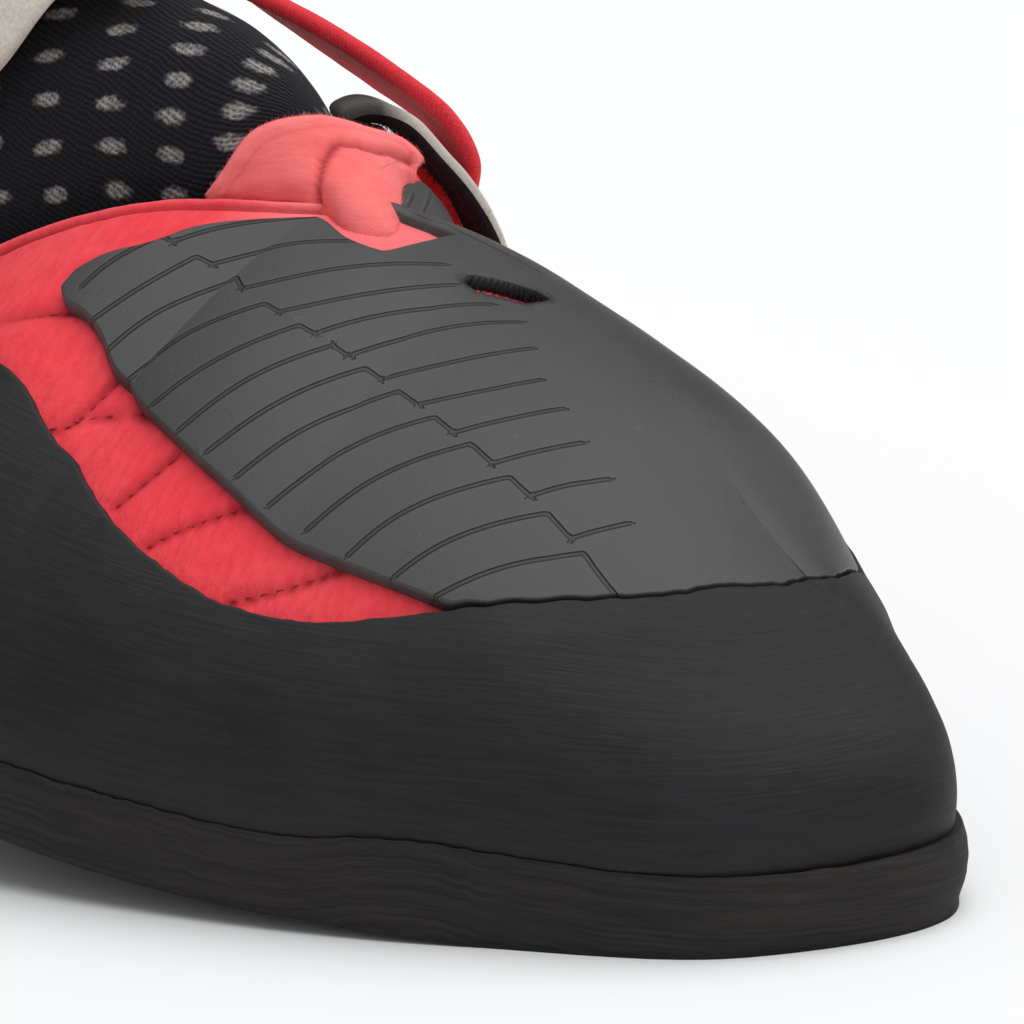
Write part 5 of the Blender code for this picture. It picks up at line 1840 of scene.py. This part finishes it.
@dataclass
class PullLoops:
    """Two tape loops over the heel's collar."""

    thick: float = 1.2
    width: float = 11.0
    height: float = 17.0

    def grid(self, centre_y: float) -> List[List[np.ndarray]]:
        """Returns the coarse points of one loop."""
        half = self.width / 2
        clear = GAP + self.thick / 2
        grid = []
        angles = (0.0, 30.0, 60.0, 90.0, 120.0, 150.0, 180.0)
        inside = -WALL - clear - 0.3
        # Each end goes on down the wall, outside first, before and after the turn over the edge.
        for low, angle in [((0.915, clear), None)] + [(None, a) for a in angles] + [((0.84, inside), None)]:
            row = []
            for k in range(4):
                y = centre_y - half + self.width * k / 3
                side = Side.OUTER if y < 0 else Side.INNER
                u = 0.045 * abs(y) / 13.0
                top_out = LAST.offset(side, u, 0.985, clear)
                top_in = LAST.offset(side, u, 0.985, inside)
                if low is not None:
                    row.append(LAST.offset(side, u, *low))
                    continue
                a = math.radians(angle)
                swing = 0.5 * (top_out - top_in) * math.cos(a) * (1.0 + 0.7 * math.sin(a))
                rise = np.array((-1.5, 0.0, self.height)) * math.sin(a)
                row.append(0.5 * (top_out + top_in) + swing + rise)
            grid.append(row[::-1])
        return grid

    def build(self, finishes: Finishes) -> List[bpy.types.Object]:
        """Makes both loops."""
        made = []
        for side in Side:
            word = side.name.lower()
            surface = sheet_surface(self.grid(7.0 * side), 110, 22)
            rim = surface.rim_distance()
            half = self.thick / 2
            # Painted shade along a line a little inside the tape's edge.
            surface.values["crease"] = 0.5 * trough(rim - 1.4, 0.2)
            rise = half * rounded(rim, half)
            loop = surface.build(word + "_pull_loop", finishes.tape, rise, -rise)
            made.append(settle(loop, "dark_webbing", "pull_loop_" + word))
        return made


@dataclass
class Insole:
    """Footbed inside the upper."""

    thick: float = 2.6
    inset: float = 2.7
    lift: float = 0.2

    def build(self, finishes: Finishes) -> bpy.types.Object:
        """Makes the footbed and returns it."""
        u = spread(0.0, 1.0, 0.008)
        shares = np.linspace(0.0, 1.0, 16)
        points, quads, uvs = [], [], []
        count = 0
        for side in Side:
            width = np.linalg.norm((LAST.foot[side].at(u) - LAST.spine(u))[:, :2], axis=1)
            share = shares[None, :] * (1.0 - self.inset / width)[:, None]
            grid = LAST.floor_point(side, np.repeat(u[:, None], len(shares), axis=1), share)
            grid[..., 2] += self.lift + self.thick / 2
            quad = grid_faces(len(u), len(shares), count)[:, [0, 3, 2, 1]]
            quads.append(quad[:, ::-1] if side == Side.OUTER else quad)
            uvs.append(grid[..., :2].reshape(-1, 2))
            points.append(grid.reshape(-1, 3))
            count += len(points[-1])
        surface = Surface(np.concatenate(points), np.concatenate(quads), np.concatenate(uvs))
        if surface.normal[:, 2].mean() < 0:
            surface.faces = [face[::-1] for face in surface.faces]
            surface.normal = -surface.normal
        rim = surface.rim_distance()
        rise = 0.5 * self.thick * rounded(rim, 1.0)
        # Painted shade along a line 3 mm inside the footbed's edge.
        surface.values["crease"] = 0.4 * trough(rim - 3.0, 0.3)
        obj = surface.build("felt_insole", finishes.insole, rise, -rise)
        return settle(obj, "insole_felt", "insole")


@dataclass
class Studio:
    """Camera as in the photo, plain pale floor and soft light."""

    azimuth: float = 49.13
    elevation: float = 16.3
    distance: float = 650.0
    focal_px: float = 6137.62
    frame_px: float = 1024.0
    sensor: float = 36.0
    target: Tuple[float, float, float] = (172.0, 3.21, 35.42)
    floor_size: float = 6.0
    floor_white: float = 0.92
    sky: float = 0.40
    sun: float = 2.12

    def camera(self) -> bpy.types.Object:
        """Makes the camera of the photo's view."""
        a, e = math.radians(self.azimuth), math.radians(self.elevation)
        back = Vector((math.sin(a) * math.cos(e), -math.cos(a) * math.cos(e), math.sin(e)))
        right = Vector((math.cos(a), math.sin(a), 0.0))
        up = back.cross(right)
        data = bpy.data.cameras.new("photo_view")
        data.sensor_width = self.sensor
        data.lens = self.focal_px / self.frame_px * self.sensor
        data.clip_start = 0.01
        camera = linked("photo_view", data)
        place = (Vector(self.target) + back * self.distance) * MM
        camera.matrix_world = Matrix.Translation(place) @ Matrix((right, up, back)).transposed().to_4x4()
        bpy.context.scene.camera = camera
        return camera

    def floor(self) -> bpy.types.Object:
        """Makes the pale floor."""
        half = self.floor_size / 2
        mesh = bpy.data.meshes.new("floor")
        corners = [(-half, -half, 0), (half, -half, 0), (half, half, 0), (-half, half, 0)]
        mesh.from_pydata(corners, [], [(0, 1, 2, 3)])
        material = bpy.data.materials.new("pale_floor")
        material.use_nodes = True
        shader = material.node_tree.nodes["Principled BSDF"]
        white = self.floor_white
        shader.inputs["Base Color"].default_value = (white * 0.985, white * 0.993, white, 1.0)
        shader.inputs["Roughness"].default_value = 0.9
        shader.inputs["Specular IOR Level"].default_value = 0.1
        mesh.materials.append(material)
        floor = linked("floor", mesh)
        return floor

    def light(self) -> None:
        """Makes a bright room and two broad lights, shown as they are."""
        bpy.context.scene.view_settings.view_transform = "Standard"
        world = bpy.data.worlds.new("bright_room")
        world.use_nodes = True
        background = world.node_tree.nodes["Background"]
        background.inputs["Color"].default_value = (0.97, 0.985, 1.0, 1.0)
        background.inputs["Strength"].default_value = self.sky
        bpy.context.scene.world = world
        for name, strength, angle, turn in (
            ("overhead", self.sun, 70.0, (math.radians(-9.0), math.radians(12.0), 0.0)),
            ("window", 0.30, 50.0, (math.radians(-58.0), 0.0, math.radians(-25.0))),
        ):
            data = bpy.data.lights.new(name, "SUN")
            data.energy = strength
            data.angle = math.radians(angle)
            linked(name, data).rotation_euler = turn


def main() -> None:
    """Builds the whole scene."""
    logging.basicConfig(level=logging.INFO, format="%(name)s %(message)s")
    studio = Studio()
    studio.camera()
    studio.floor()
    studio.light()
    finishes = Finishes()
    for kind in (
        Outsole, Rand, ToePatch, HeelCup, Upper, ThroatFlap, Tongue, Strap, PullLoops, Insole,
    ):
        kind().build(finishes)


if __name__ == "__main__":
    main()
